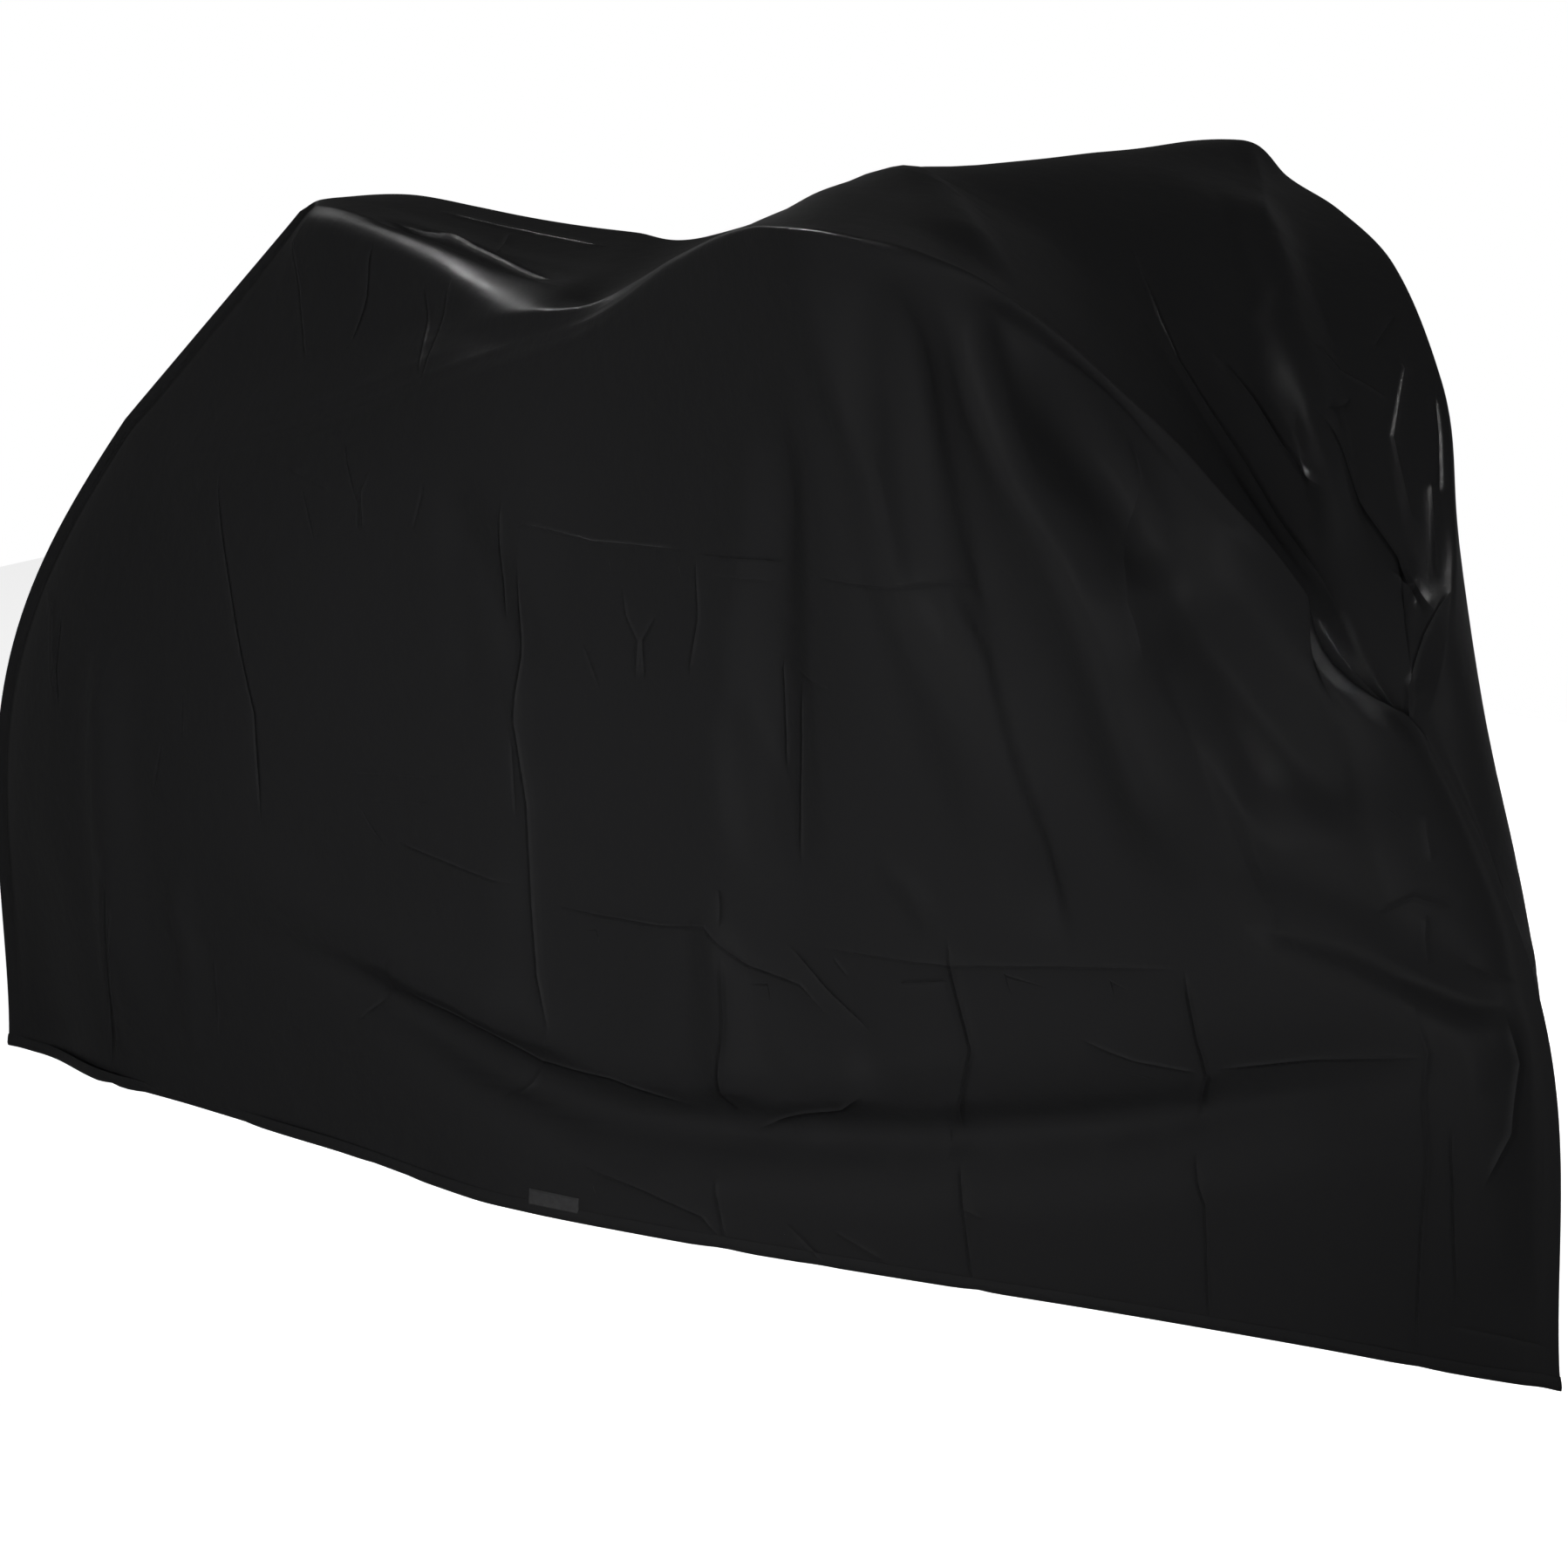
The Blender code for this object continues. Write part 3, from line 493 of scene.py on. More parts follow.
# The waves lie in a band that rises to the front by SLACK_TURN. They come in and go out between these heights
# in the band, and come in between these shares from each end.
SLACK_TURN = 0.25
SLACK_COMES_IN = (0.02, 0.15)
SLACK_GOES_OUT = (0.85, 1.0)
SLACK_FROM_END = (0.02, 0.12)

FOLD_CROWN = 0.22  # how rounded the line of a fold is, as a part of its width
FOOT_BLEND = 0.12
EDGE_CALM = 0.035  # folds and creases of a side fade out this close to its upper edge
REFINE_REACH = 0.016  # how far from a crease the finer mesh reaches at most
# The passes that make the mesh finer: the widest crease that one follows, and its margin
EVERY_WIDTH = 1.0
REFINE_PASSES = ((EVERY_WIDTH, 0.006), (FINE_CREASE_WIDTH, 0.001))
CRISP_LEVELS = 1.6  # how many levels on each side of a ridge or crest get the finer mesh

# The strips of the mesh, up from a hem to the middle
HEM_LINES = (0.0, 0.003, 0.006, 0.0072, 0.0085, 0.0098, 0.0115, 0.016, 0.024)  # distances from the edge
HEM_STEPS = len(HEM_LINES) - 1
FLANK_STEPS = 42
SHOULDER_STEPS = 12
TOP_STEPS = 7
RIDGE_LEVEL = HEM_STEPS + FLANK_STEPS
CREST_LEVEL = RIDGE_LEVEL + SHOULDER_STEPS
MIDDLE_LEVEL = CREST_LEVEL + TOP_STEPS
MIDDLE_LINE = 3.0  # the middle's number among the main lines, which count from 0 at the near hem
LINE_TOLERANCE = 1e-6
SHORTEST = 1e-6  # a length below this counts as none
COLUMNS = 150
END_CROWDING = 0.012  # how much of the length each end's crowded columns take up
END_COLUMNS = 7

# The cloth turned in at the hem: how far up from the edge it lies, and how far in from the outer layer
TurnedRow = namedtuple("TurnedRow", "level up inset")
TURNED = (
    TurnedRow(-4.0, 0.0120, 0.0008),
    TurnedRow(-3.0, 0.0070, 0.0014),
    TurnedRow(-2.0, 0.0018, 0.0015),
    TurnedRow(-1.0, -0.0006, 0.0008),
    TurnedRow(0.0, 0.0000, 0.0000),
)
HEM_STITCH_UP = 0.0085
STITCH_GROOVE = 0.0006
STITCH_GROOVE_WIDTH = 0.0016

# The end seams: both layers pressed together in a narrow flange
FLANGE = 0.010
FLANGE_OPENING = 0.030
FLANGE_HALF_GAP = 0.0006
FLANGE_ROUND = 0.002
SEAM_SPAN = 0.12  # the share of the length at each end in which the sheet is pressed

SMALL_STEP = 0.0005  # for the slope of the surface
CLOTH_LENGTH = 1.9

LABEL_START = 29 / 63
LABEL_END = 31 / 63
LABEL_LOW = 0.006
LABEL_HIGH = 0.024
LABEL_LIFT = 0.0003
LABEL_THICKNESS = 0.0010
LABEL_BORDER = 0.0016
LABEL_BORDER_WIDTH = 0.0005
LABEL_BORDER_RISE = 0.0002
LABEL_EDGE = 0.6  # the share of its thickness that the label has at its very edge
LABEL_EDGE_ROUND = 0.0009
LABEL_COLUMNS = 60
LABEL_ROWS = 24

STITCH_SPACING = 0.0042
STITCH_LENGTH = 0.0031
STITCH_HALF_WIDTH = 0.00035
STITCH_RISE = 0.0002
STITCH_SINK = 0.0004
SEAM_STITCH_IN = 0.0033  # the share along the sheet at which the end seams' stitches lie
SEAM_STITCH_LOW = 0.02
SEAM_STITCH_HIGH = 0.97
SEAM_SAMPLES = 160
HEM_SAMPLES = 400
LABEL_CLEARANCE = 0.003  # the share on each side of the label in which the hem has no stitches

CAMERA_PLACE = (4.22, -4.66, 0.9565)
CAMERA_TILT = 90.0 - 13.7
CAMERA_TURN = 38.6
CAMERA_LENS = 150.17
FLOOR_HEIGHT = -1.0235
FLOOR_LOW = (-2.6, -3.6)
FLOOR_HIGH = (3.2, 2.6)
FLOOR_TONE = (0.90, 0.90, 0.90, 1.0)
FLOOR_GLOW = 0.75
WHITE = (1.0, 1.0, 1.0, 1.0)
FLOOR_ROUGH = 0.9
WORLD_STRENGTH = 0.045

# width and length are the lamp's own, and spread is in degrees. gives says what the cloth shows of a lamp,
# which is its soft light, its shine or both.
Lamp = namedtuple("Lamp", "name place target width length power spread gives")
LAMPS = (
    Lamp("front_right", (2.5, -2.2, -0.1), (0.30, 0.0, -0.4), 1.6, 1.2, 4.4, 56.0, "soft"),
    Lamp("front_left", (0.9, -2.8, -0.30), (0.05, 0.0, -0.6), 2.0, 1.2, 4.6, 60.0, "soft"),
    Lamp("bounce", (0.5, -1.7, -0.98), (0.3, 0.0, -0.7), 1.6, 0.9, 5.2, 180.0, "soft"),
    Lamp("upper_right", (3.8, 0.8, 0.9), (1.0, 0.0, -0.1), 1.4, 1.4, 1.5, 180.0, "soft"),
    Lamp("slope_fill", (3.2, 2.0, 0.9), (1.0, 0.0, 0.0), 1.4, 1.4, 21.0, 180.0, "soft"),
    Lamp("right_shine", (3.4, 0.3, 1.5), (1.1, 0.0, -0.2), 0.9, 0.9, 0.26, 180.0, "shine"),
    Lamp("lip_shine", (3.2, 0.04, 1.6), (1.168, -0.05, -0.262), 0.1, 0.1, 0.0038, 3.0, "shine"),
    Lamp("rim", (-2.0, -0.1, 3.0), (0.6, 0.0, -0.4), 0.6, 1.2, 16.0, 180.0, "both"),
    Lamp("crest_shine", (-1.6, -0.2, 2.6), (0.56, -0.22, 0.05), 0.4, 0.4, 1.4, 12.0, "shine"),
    Lamp("rim_left", (-2.3, 0.8, 1.3), (0.6, 0.0, -0.1), 0.5, 0.9, 3.5, 180.0, "both"),
    Lamp("far_fill", (0.8, 3.0, -0.2), (0.6, 0.0, -0.6), 2.4, 1.2, 22.0, 80.0, "soft"),
)

NOISE_RANGE = (0.30, 0.70)  # where most of a noise's values lie
CLOTH_TONE = (0.0150, 0.0150, 0.0156, 1.0)
# The paler cloth tone of the weave's threads and of the raised fine crease lines. On those lines it is partly
# wear and partly a painted highlight.
CLOTH_WEAVE_WEAR_AND_SHEEN_TONE = (0.0230, 0.0230, 0.0240, 1.0)
CLOTH_ROUGH = (0.285, 0.34)
CLOTH_SPECULAR = 0.20
WORN_ROUGH = 0.05  # how much rougher the cloth is on a worn line
WEAVE_TONE = 0.5
WEAR_AND_SHEEN_RISE = (0.0005, 0.003)  # a raised crease begins to be worn and painted with a highlight at the first rise, and is fully at the second
LABEL_TONE = (0.046, 0.046, 0.047, 1.0)
LABEL_DARK = (0.027, 0.027, 0.028, 1.0)
LABEL_ROUGH = (0.70, 0.85)
SOILING_RANGE = (0.35, 0.65)
SOILING_TONE = (0.2, 0.6)  # how dark the label is where it is least and most soiled
THREAD_CROSSING_TONE = (1.0, 0.6)  # how much of that shows between the label's threads and on them
LABEL_SPECULAR = 0.2
THREAD_DARK = (0.018, 0.018, 0.019, 1.0)
THREAD_TONE = (0.030, 0.030, 0.031, 1.0)
THREAD_ROUGH = (0.45, 0.65)
THREAD_SPECULAR = 0.2


def smooth_step(low, high, value):
    part = np.clip((value - low) / (high - low), 0.0, 1.0)
    return part * part * (3.0 - 2.0 * part)


def between(rows, share):
    """A table's values at many shares of the way along, by a smooth curve through its rows."""
    table = np.array(rows, float)
    knots = table[:, 0]
    last = len(rows) - 1
    low = np.clip(np.searchsorted(knots, share) - 1, 0, last - 1)
    before = np.maximum(low - 1, 0)
    high = low + 1
    after = np.minimum(low + 2, last)
    span = (knots[high] - knots[low])[:, None]
    part = (share - knots[low])[:, None] / span
    slope_low = (table[high] - table[before]) / (knots[high] - knots[before])[:, None] * span
    slope_high = (table[after] - table[low]) / (knots[after] - knots[low])[:, None] * span
    rise = table[high] - table[low]
    cube = slope_low + slope_high - 2.0 * rise
    square = 3.0 * rise - 2.0 * slope_low - slope_high
    return ((cube * part + square) * part + slope_low) * part + table[low]


class Lines:
    """The seven main lines of the sheet at many shares: hem, ridge and crest of each side, and the middle."""

    def __init__(self, share):
        self.share = share
        hem = between(HEM, share)
        x, height, near, far = hem[:, 1], hem[:, 2], hem[:, 3], hem[:, 4]
        self.belly = np.stack((hem[:, 5], hem[:, 6]))
        near_hem = np.stack((x, -near, height), axis=1)
        far_hem = np.stack((x, far, height), axis=1)
        tables = (NEAR_RIDGE, NEAR_CREST, MIDDLE, FAR_CREST, FAR_RIDGE)
        inner = [between(rows, share)[:, 1:] for rows in tables]
        self.points = np.stack([near_hem] + inner + [far_hem])
        eased = between(NEAR_EASE, share)[:, 1:] - inner[0]
        self.ease = eased * smooth_step(EASE_START, EASE_FULL, share)[:, None]
        lengths = np.linalg.norm(np.diff(self.points, axis=0), axis=2)
        self.lengths = np.maximum(lengths, SHORTEST)
        self.starts = np.concatenate((np.zeros((1, len(share))), np.cumsum(self.lengths, axis=0)[:-1]))

    def arc(self, across):
        """Distance round the section, in metres, of a place that is counted in main lines."""
        return sum(np.clip(across - k, 0.0, 1.0) * self.lengths[k] for k in range(6))

    def across(self, arc):
        return sum(np.clip((arc - self.starts[k]) / self.lengths[k], 0.0, 1.0) for k in range(6))


def from_own_hem(across):
    """A place round the section, counted in main lines from its own side's hem."""
    return np.where(across > MIDDLE_LINE, 2.0 * MIDDLE_LINE - across, across)


def seam_bow(share, up):
    """How far the sheet stands out ahead of its straight lines near the two end seams."""
    back = BACK_BOW * np.maximum(1.0 - share / BACK_BOW_REACH, 0.0) ** 2
    front = FRONT_BOW * np.maximum(1.0 - (1.0 - share) / FRONT_BOW_REACH, 0.0) ** 2
    return front * np.sin(np.pi * up**FRONT_BOW_EXPONENT) - back * np.sin(np.pi * up**BACK_BOW_EXPONENT)


def plain_sheet(lines, across):
    """Points of the sheet before its folds, with sharp ridges and crests."""
    share = lines.share
    far = across > MIDDLE_LINE
    step = from_own_hem(across)
    side = np.where(far, 1.0, -1.0)

    def on_side(near_line, far_line):
        return np.where(far[:, None], lines.points[far_line], lines.points[near_line])

    hem, ridge, crest, middle = on_side(0, 6), on_side(1, 5), on_side(2, 4), lines.points[3]
    up = np.clip(step, 0.0, 1.0)
    flank = hem + (ridge - hem) * up[:, None]
    flank += np.where(far, 0.0, up * (1.0 - up**EASE_POWER))[:, None] * lines.ease
    flank[:, 0] += seam_bow(share, up)
    flank[:, 1] += side * np.where(far, lines.belly[1], lines.belly[0]) * np.sin(np.pi * up)

    part = np.clip(step - 1.0, 0.0, 1.0)
    ledge = 1.0 - smooth_step(LEDGE_FADE_START, LEDGE_FADE_END, share)
    pocket = POCKET_DEPTH * smooth_step(POCKET_START, POCKET_FULL, share)
    pocket = pocket * (1.0 - smooth_step(POCKET_FULL, 1.0, share))
    shoulder = ridge + (crest - ridge) * part[:, None]
    inward = part ** (1.0 - LEDGE_FLATNESS * ledge)
    shoulder[:, 1] = ridge[:, 1] + (crest[:, 1] - ridge[:, 1]) * inward
    shoulder -= (pocket * np.sin(np.pi * part))[:, None] * POCKET_DIRECTION

    top = crest + (middle - crest) * np.clip(step - 2.0, 0.0, 1.0)[:, None]
    return np.where((step < 1.0)[:, None], flank, np.where((step < 2.0)[:, None], shoulder, top))


def turned_sheet(lines, across):
    """Points of the sheet with its ridges and crests turned softly."""
    arc = lines.arc(across)
    whole = lines.starts[5] + lines.lengths[5]
    turns = between(TURNS, lines.share)
    step = from_own_hem(across)
    by_crest = smooth_step(*TURN_CHANGE, step)
    spread = turns[:, 1] + (turns[:, 2] - turns[:, 1]) * by_crest
    spread = np.minimum(spread, np.minimum(arc, whole - arc) / HEM_CALM)
    weights = np.exp(-0.5 * TURN_TAPS**2)
    weights /= weights.sum()
    total = np.zeros((len(arc), 3))
    for tap, weight in zip(TURN_TAPS, weights):
        total += weight * plain_sheet(lines, lines.across(arc + tap * spread))
    return total


def rolled_crest(lines, across, points):
    """Points with the sheet standing out just below the near crest."""
    below = np.clip(2.0 - across, 0.0, 1.0) * lines.lengths[1]
    bulge = np.interp(lines.share, [row.share for row in ROLL], [row.bulge for row in ROLL])
    bulge = bulge * (1.0 - np.exp(-below / ROLL_BEND)) * (1.0 - smooth_step(ROLL_BEND, ROLL_END, below))
    points[:, 1] -= np.where(across < 2.0, bulge, 0.0)
    return points


def turned_lip(lines, across, points):
    """Points with the narrow lip beside the near ridge turned in."""
    inward = np.clip(across - 1.0, 0.0, 1.0) * lines.lengths[1]
    table = np.array(LIP)
    amount = np.interp(lines.share, table[:, 0], table[:, 1])
    width = np.interp(lines.share, table[:, 0], table[:, 2])
    strip = lines.points[1] + np.minimum(inward, width)[:, None] * LIP_DIRECTION
    amount = amount * (1.0 - smooth_step(width, width + LIP_FADE, inward))
    amount = np.where((across >= 1.0) & (across < 2.0), amount, 0.0)[:, None]
    return points * (1.0 - amount) + strip * amount


def edge_calm(lines, across, part):
    """0 at the edge of a side, where the sheet turns over to the top, and 1 away from it."""
    if part == "top":
        return np.ones(len(across))
    step = from_own_hem(across)
    ridge_edge = lines.share >= EDGE_CHANGE
    flank = np.clip(1.0 - step, 0.0, 1.0) * lines.lengths[0]
    shoulder = np.clip(2.0 - step, 0.0, 1.0) * lines.lengths[1]
    return smooth_step(0.0, EDGE_CALM, np.where(ridge_edge, flank, flank + shoulder))


def pressed_seams(lines, across, points):
    """Both layers drawn together beside the two end seams, so that each seam stands out as a flange."""
    result = points.copy()
    side = np.where(across > MIDDLE_LINE, 1.0, -1.0)
    for end in (0.0, 1.0):
        close = np.abs(lines.share - end) < SEAM_SPAN
        if not close.any():
            continue
        ends = Lines(np.full(int(close.sum()), end))
        seam = plain_sheet(ends, across[close])
        away = np.hypot(points[close, 0] - seam[:, 0], points[close, 2] - seam[:, 2])
        opened = smooth_step(FLANGE, FLANGE + FLANGE_OPENING, away)
        pressed = side[close] * FLANGE_HALF_GAP * smooth_step(0.0, FLANGE_ROUND, away)
        result[close, 1] = pressed + (result[close, 1] - pressed) * opened
    return result


def levels_to_places(lines, level):
    """Each level's place round the section in main lines, its inset, and how far it drops below the hem."""
    far = level > MIDDLE_LEVEL
    step = np.where(far, 2.0 * MIDDLE_LEVEL - level, level)
    flank_length = np.where(far, lines.lengths[5], lines.lengths[0])
    turned = np.array(TURNED)
    up = np.interp(step, turned[:, 0], turned[:, 1])
    inset = np.interp(step, turned[:, 0], turned[:, 2])
    from_edge = np.interp(step, np.arange(HEM_STEPS + 1), HEM_LINES)
    from_edge = np.where(step < 0.0, up, from_edge)
    first = HEM_LINES[-1] / flank_length
    place = from_edge / flank_length
    place = np.where(step > HEM_STEPS, first + (1.0 - first) * (step - HEM_STEPS) / FLANK_STEPS, place)
    place = np.where(step > RIDGE_LEVEL, 1.0 + (step - RIDGE_LEVEL) / SHOULDER_STEPS, place)
    place = np.where(step > CREST_LEVEL, 2.0 + (step - CREST_LEVEL) / TOP_STEPS, place)
    dropped = np.where(step < 0.0, np.minimum(up, 0.0), 0.0)
    place = np.clip(place, 0.0, MIDDLE_LINE)
    return np.where(far, 2.0 * MIDDLE_LINE - place, place), inset, dropped


def path_distance(places, path):
    """Each place's distance from a path, and how far along the path its nearest point is, from 0 to 1."""
    path = np.array(path, float)
    legs = np.diff(path, axis=0)
    lengths = np.linalg.norm(legs, axis=1)
    nearest = np.full(len(places), np.inf)
    along = np.zeros(len(places))
    gone = 0.0
    for start, leg, length in zip(path, legs, lengths):
        part = np.clip((places - start) @ leg / length**2, 0.0, 1.0)
        distance = np.linalg.norm(places - start - part[:, None] * leg, axis=1)
        closer = distance < nearest
        nearest = np.where(closer, distance, nearest)
        along = np.where(closer, (gone + part * length) / lengths.sum(), along)
        gone += length
    return nearest, along


def side_of_path(places, path):
    """1 where a place lies to the left of its nearest leg of the path, and 0 where it lies to the right."""
    path = np.array(path, float)
    nearest = np.full(len(places), np.inf)
    left = np.zeros(len(places))
    for start, leg in zip(path, np.diff(path, axis=0)):
        part = np.clip((places - start) @ leg / (leg @ leg), 0.0, 1.0)
        offset = places - start - part[:, None] * leg
        distance = np.linalg.norm(offset, axis=1)
        turn = leg[0] * offset[:, 1] - leg[1] * offset[:, 0]
        closer = distance < nearest
        nearest = np.where(closer, distance, nearest)
        left = np.where(closer, turn > 0.0, left)
    return left > 0.5


def near_path(places, path, width):
    """The numbers of the places in the box round a path, with a margin of the given width."""
    path = np.array(path, float)
    low, high = path.min(axis=0) - width, path.max(axis=0) + width
    return np.nonzero(((places > low) & (places < high)).all(axis=1))[0]


def flat_sided(share, crown):
    """A form with flat sides: 1 on its line, 0 at its width, rounded at the line and at its feet."""
    height = np.sqrt(1.0 + crown**2) - crown
    form = np.maximum(1.0 - (np.sqrt(share**2 + crown**2) - crown) / height, 0.0)
    return form**2 / (form + FOOT_BLEND) * (1.0 + FOOT_BLEND)


def tapered(along, taper):
    """1 along a path, fading to 0 at its two ends."""
    return smooth_step(0.0, taper, along) * smooth_step(0.0, taper, 1.0 - along)


def part_masks(share, across):
    """Which vertices belong to the near side, to the top and to the far side."""
    edge = np.where(share < EDGE_CHANGE, 2.0, 1.0)
    near = across <= edge + LINE_TOLERANCE
    far = across >= 2.0 * MIDDLE_LINE - edge - LINE_TOLERANCE
    return {"near": near, "far": far, "top": ~near & ~far}


def flat_places(points, part):
    """The points in the plane in which the paths of a part are given."""
    return points[:, (0, 1)] if part == "top" else points[:, (0, 2)]


def fold_lift(points, masks, lines, across):
    """How far the large folds lift each vertex."""
    lift = np.zeros(len(points))
    calm = {part: edge_calm(lines, across, part) for part in masks}
    for fold in FOLDS:
        places = flat_places(points, fold.part)
        chosen = near_path(places, fold.path, max(fold.start_width, fold.end_width))
        chosen = chosen[masks[fold.part][chosen]]
        distance, along = path_distance(places[chosen], fold.path)
        width = fold.start_width + (fold.end_width - fold.start_width) * along
        form = flat_sided(distance / width, FOLD_CROWN)
        lift[chosen] += fold.rise * tapered(along, FOLD_TAPER) * form * calm[fold.part][chosen]
    return lift


def along_and_beside(points, turn):
    """The points' coordinates along and beside a direction in the side's plane."""
    along = points[:, 0] * math.cos(turn) + points[:, 2] * math.sin(turn)
    return along, points[:, 2] * math.cos(turn) - points[:, 0] * math.sin(turn)


def slack_lift(points, share):
    """The soft unevenness of hanging cloth, in a band that rises to the front, and calm near the two ends."""
    total = np.zeros(len(points))
    for wave in SLACK:
        along, beside = along_and_beside(points, wave.turn)
        along = along + points[:, 1] * WAVE_SIDEWAYS
        bend = np.sin(2.0 * np.pi * beside / (WAVE_BEND_LENGTH * wave.length) + wave.phase)
        bend = WAVE_BEND * wave.length * bend
        total += wave.height * np.sin(2.0 * np.pi * (along + bend) / wave.length + 2.0 * wave.phase)
    _, up = along_and_beside(points, SLACK_TURN)
    loose = smooth_step(*SLACK_COMES_IN, up) * (1.0 - smooth_step(*SLACK_GOES_OUT, up))
    loose = loose * smooth_step(*SLACK_FROM_END, share)
    return total * loose * smooth_step(*SLACK_FROM_END, 1.0 - share)


def is_fine(crease):
    """Whether the material sharpens the crease's line."""
    return crease.kind in ("ridge", "groove") and max(crease.left, crease.right) < FINE_CREASE_WIDTH


def placed_creases():
    """Every crease with its part and its reach on each side, and the far side's twins last."""
    creases = []
    for part, rows in (("near", NEAR_CREASES), ("top", TOP_CREASES)):
        creases += [Placed(part, row.kind, row.size, row.width, row.width, row.path) for row in rows]
    creases += [Placed("near", *row) for row in NEAR_SLOPES]
    for crease in tuple(creases):
        if crease.part == "near" and is_fine(crease):
            path = tuple((x + TWIN_SHIFT, height) for x, height in crease.path)
            creases.append(crease._replace(part="far", size=crease.size * TWIN_STRENGTH, path=path))
    return creases


ALL_CREASES = placed_creases()


def path_samples(path):
    """Places set closely along a path."""
    corners = np.array(path)
    pieces = [np.linspace(start, end, PATH_SAMPLES) for start, end in zip(corners[:-1], corners[1:])]
    return np.concatenate(pieces)


def crease_channels():
    """The channel of each fine crease, chosen so that creases close together are on different ones."""
    channels = {}
    for index, crease in enumerate(ALL_CREASES):
        if not is_fine(crease):
            continue
        gaps = np.full(LINE_CHANNELS, np.inf)
        own = path_samples(crease.path)
        for other, channel in channels.items():
            if ALL_CREASES[other].part == crease.part:
                apart = own[:, None] - path_samples(ALL_CREASES[other].path)[None]
                gaps[channel] = min(gaps[channel], np.sqrt((apart**2).sum(axis=2)).min())
        clear = np.flatnonzero(gaps >= 2.0 * LINE_REACH)
        channels[index] = int(clear[0]) if len(clear) else int(np.argmax(gaps))
    return channels


def crease_lift(points, masks, lines, across):
    """How far the creases lift each vertex, and what the material is told of the fine ones there.

    On each channel that is the distance across the nearest fine crease, with a sign for its two sides, and
    the crease's rise.
    """
    lift = np.zeros(len(points))
    line_across = np.full((LINE_CHANNELS, len(points)), LINE_REACH)
    line_rise = np.zeros((LINE_CHANNELS, len(points)))
    calm = {part: edge_calm(lines, across, part) for part in masks}
    channels = crease_channels()
    for index, crease in enumerate(ALL_CREASES):
        places = flat_places(points, crease.part)
        chosen = near_path(places, crease.path, max(crease.left, crease.right, LINE_REACH))
        chosen = chosen[masks[crease.part][chosen]]
        distance, along = path_distance(places[chosen], crease.path)
        width = np.where(side_of_path(places[chosen], crease.path), crease.left, crease.right)
        form = np.maximum(1.0 - distance / width, 0.0) ** 2
        if crease.kind in ("swell", "dip"):
            form = np.maximum(1.0 - (distance / width) ** 2, 0.0) ** 2
        if crease.kind in ("tent", "trough"):
            form = flat_sided(distance / width, TENT_CROWN)
        sign = -1.0 if crease.kind in ("groove", "dip", "trough") else 1.0
        rise = sign * crease.size * tapered(along, CREASE_TAPER) * calm[crease.part][chosen]
        if is_fine(crease):
            form = FINE_FORM * np.maximum(1.0 - (distance / width) ** 2, 0.0) ** 2
            channel = channels[index]
            closer = (distance < LINE_REACH) & (distance < np.abs(line_across[channel, chosen]))
            side = np.where(side_of_path(places[chosen], crease.path), 1.0, -1.0)
            line_across[channel, chosen[closer]] = (side * distance)[closer]
            faded = rise * (1.0 - smooth_step(LINE_FADE_START, LINE_FADE_END, distance))
            line_rise[channel, chosen[closer]] = faded[closer]
        lift[chosen] += rise * form
    told = {}
    for channel in range(LINE_CHANNELS):
        told[f"line_across_{channel}"] = line_across[channel]
        told[f"line_rise_{channel}"] = line_rise[channel]
    return lift, told


def column_shares():
    """The shares of the mesh's columns, crowded at the two ends."""
    inner = np.linspace(END_CROWDING, 1.0 - END_CROWDING, COLUMNS + 1 - 2 * END_COLUMNS)
    ends = END_CROWDING * np.linspace(0.0, 1.0, END_COLUMNS + 1)[:-1]
    return np.concatenate((ends, inner, 1.0 - ends[::-1]))


def fresh_grid():
    """A flat grid whose x is the share along the sheet, and whose y is the level."""
    first = int(TURNED[0].level)
    levels = np.arange(first, 2 * MIDDLE_LEVEL - first + 1)
    shares = column_shares()
    shape = bmesh.new()
    bmesh.ops.create_grid(shape, x_segments=len(shares) - 1, y_segments=len(levels) - 1, size=0.5)
    for vertex in shape.verts:
        column = round((vertex.co.x + 0.5) * (len(shares) - 1))
        row = round((vertex.co.y + 0.5) * (len(levels) - 1))
        vertex.co = (shares[column], levels[row], 0.0)
    return shape


def faces_near_creases(shape, widest, margin):
    """The faces near a ridge, a crest, or a crease that is no wider than the given width."""
    shape.faces.ensure_lookup_table()
    middles = np.array([face.calc_center_median()[:2] for face in shape.faces])
    lines = Lines(np.clip(middles[:, 0], 0.0, 1.0))
    across, _, _ = levels_to_places(lines, middles[:, 1])
    points = plain_sheet(lines, across)
    masks = part_masks(lines.share, across)
    picked = np.zeros(len(middles), bool)
    for crease in ALL_CREASES:
        if min(crease.left, crease.right) > widest or (crease.part == "far" and widest < EVERY_WIDTH):
            continue
        reach = min(max(crease.left, crease.right), REFINE_REACH) + margin
        places = flat_places(points, crease.part)
        chosen = near_path(places, crease.path, reach)
        chosen = chosen[masks[crease.part][chosen]]
        distance, _ = path_distance(places[chosen], crease.path)
        picked[chosen[distance < reach]] = True
    step = np.where(middles[:, 1] > MIDDLE_LEVEL, 2.0 * MIDDLE_LEVEL - middles[:, 1], middles[:, 1])
    for level in (RIDGE_LEVEL, CREST_LEVEL):
        picked |= np.abs(step - level) < CRISP_LEVELS
    inner = (middles[:, 0] > END_CROWDING) & (middles[:, 0] < 1.0 - END_CROWDING)
    picked &= inner & (middles[:, 1] > 0.0) & (middles[:, 1] < 2 * MIDDLE_LEVEL)
    return picked


def refine(shape, picked):
    """Halve the edges of the picked faces, in the faces' order, so that every run gives the same mesh."""
    edges = dict.fromkeys(edge for face, chosen in zip(shape.faces, picked) if chosen for edge in face.edges)
    bmesh.ops.subdivide_edges(shape, edges=list(edges), cuts=1, use_grid_fill=True)


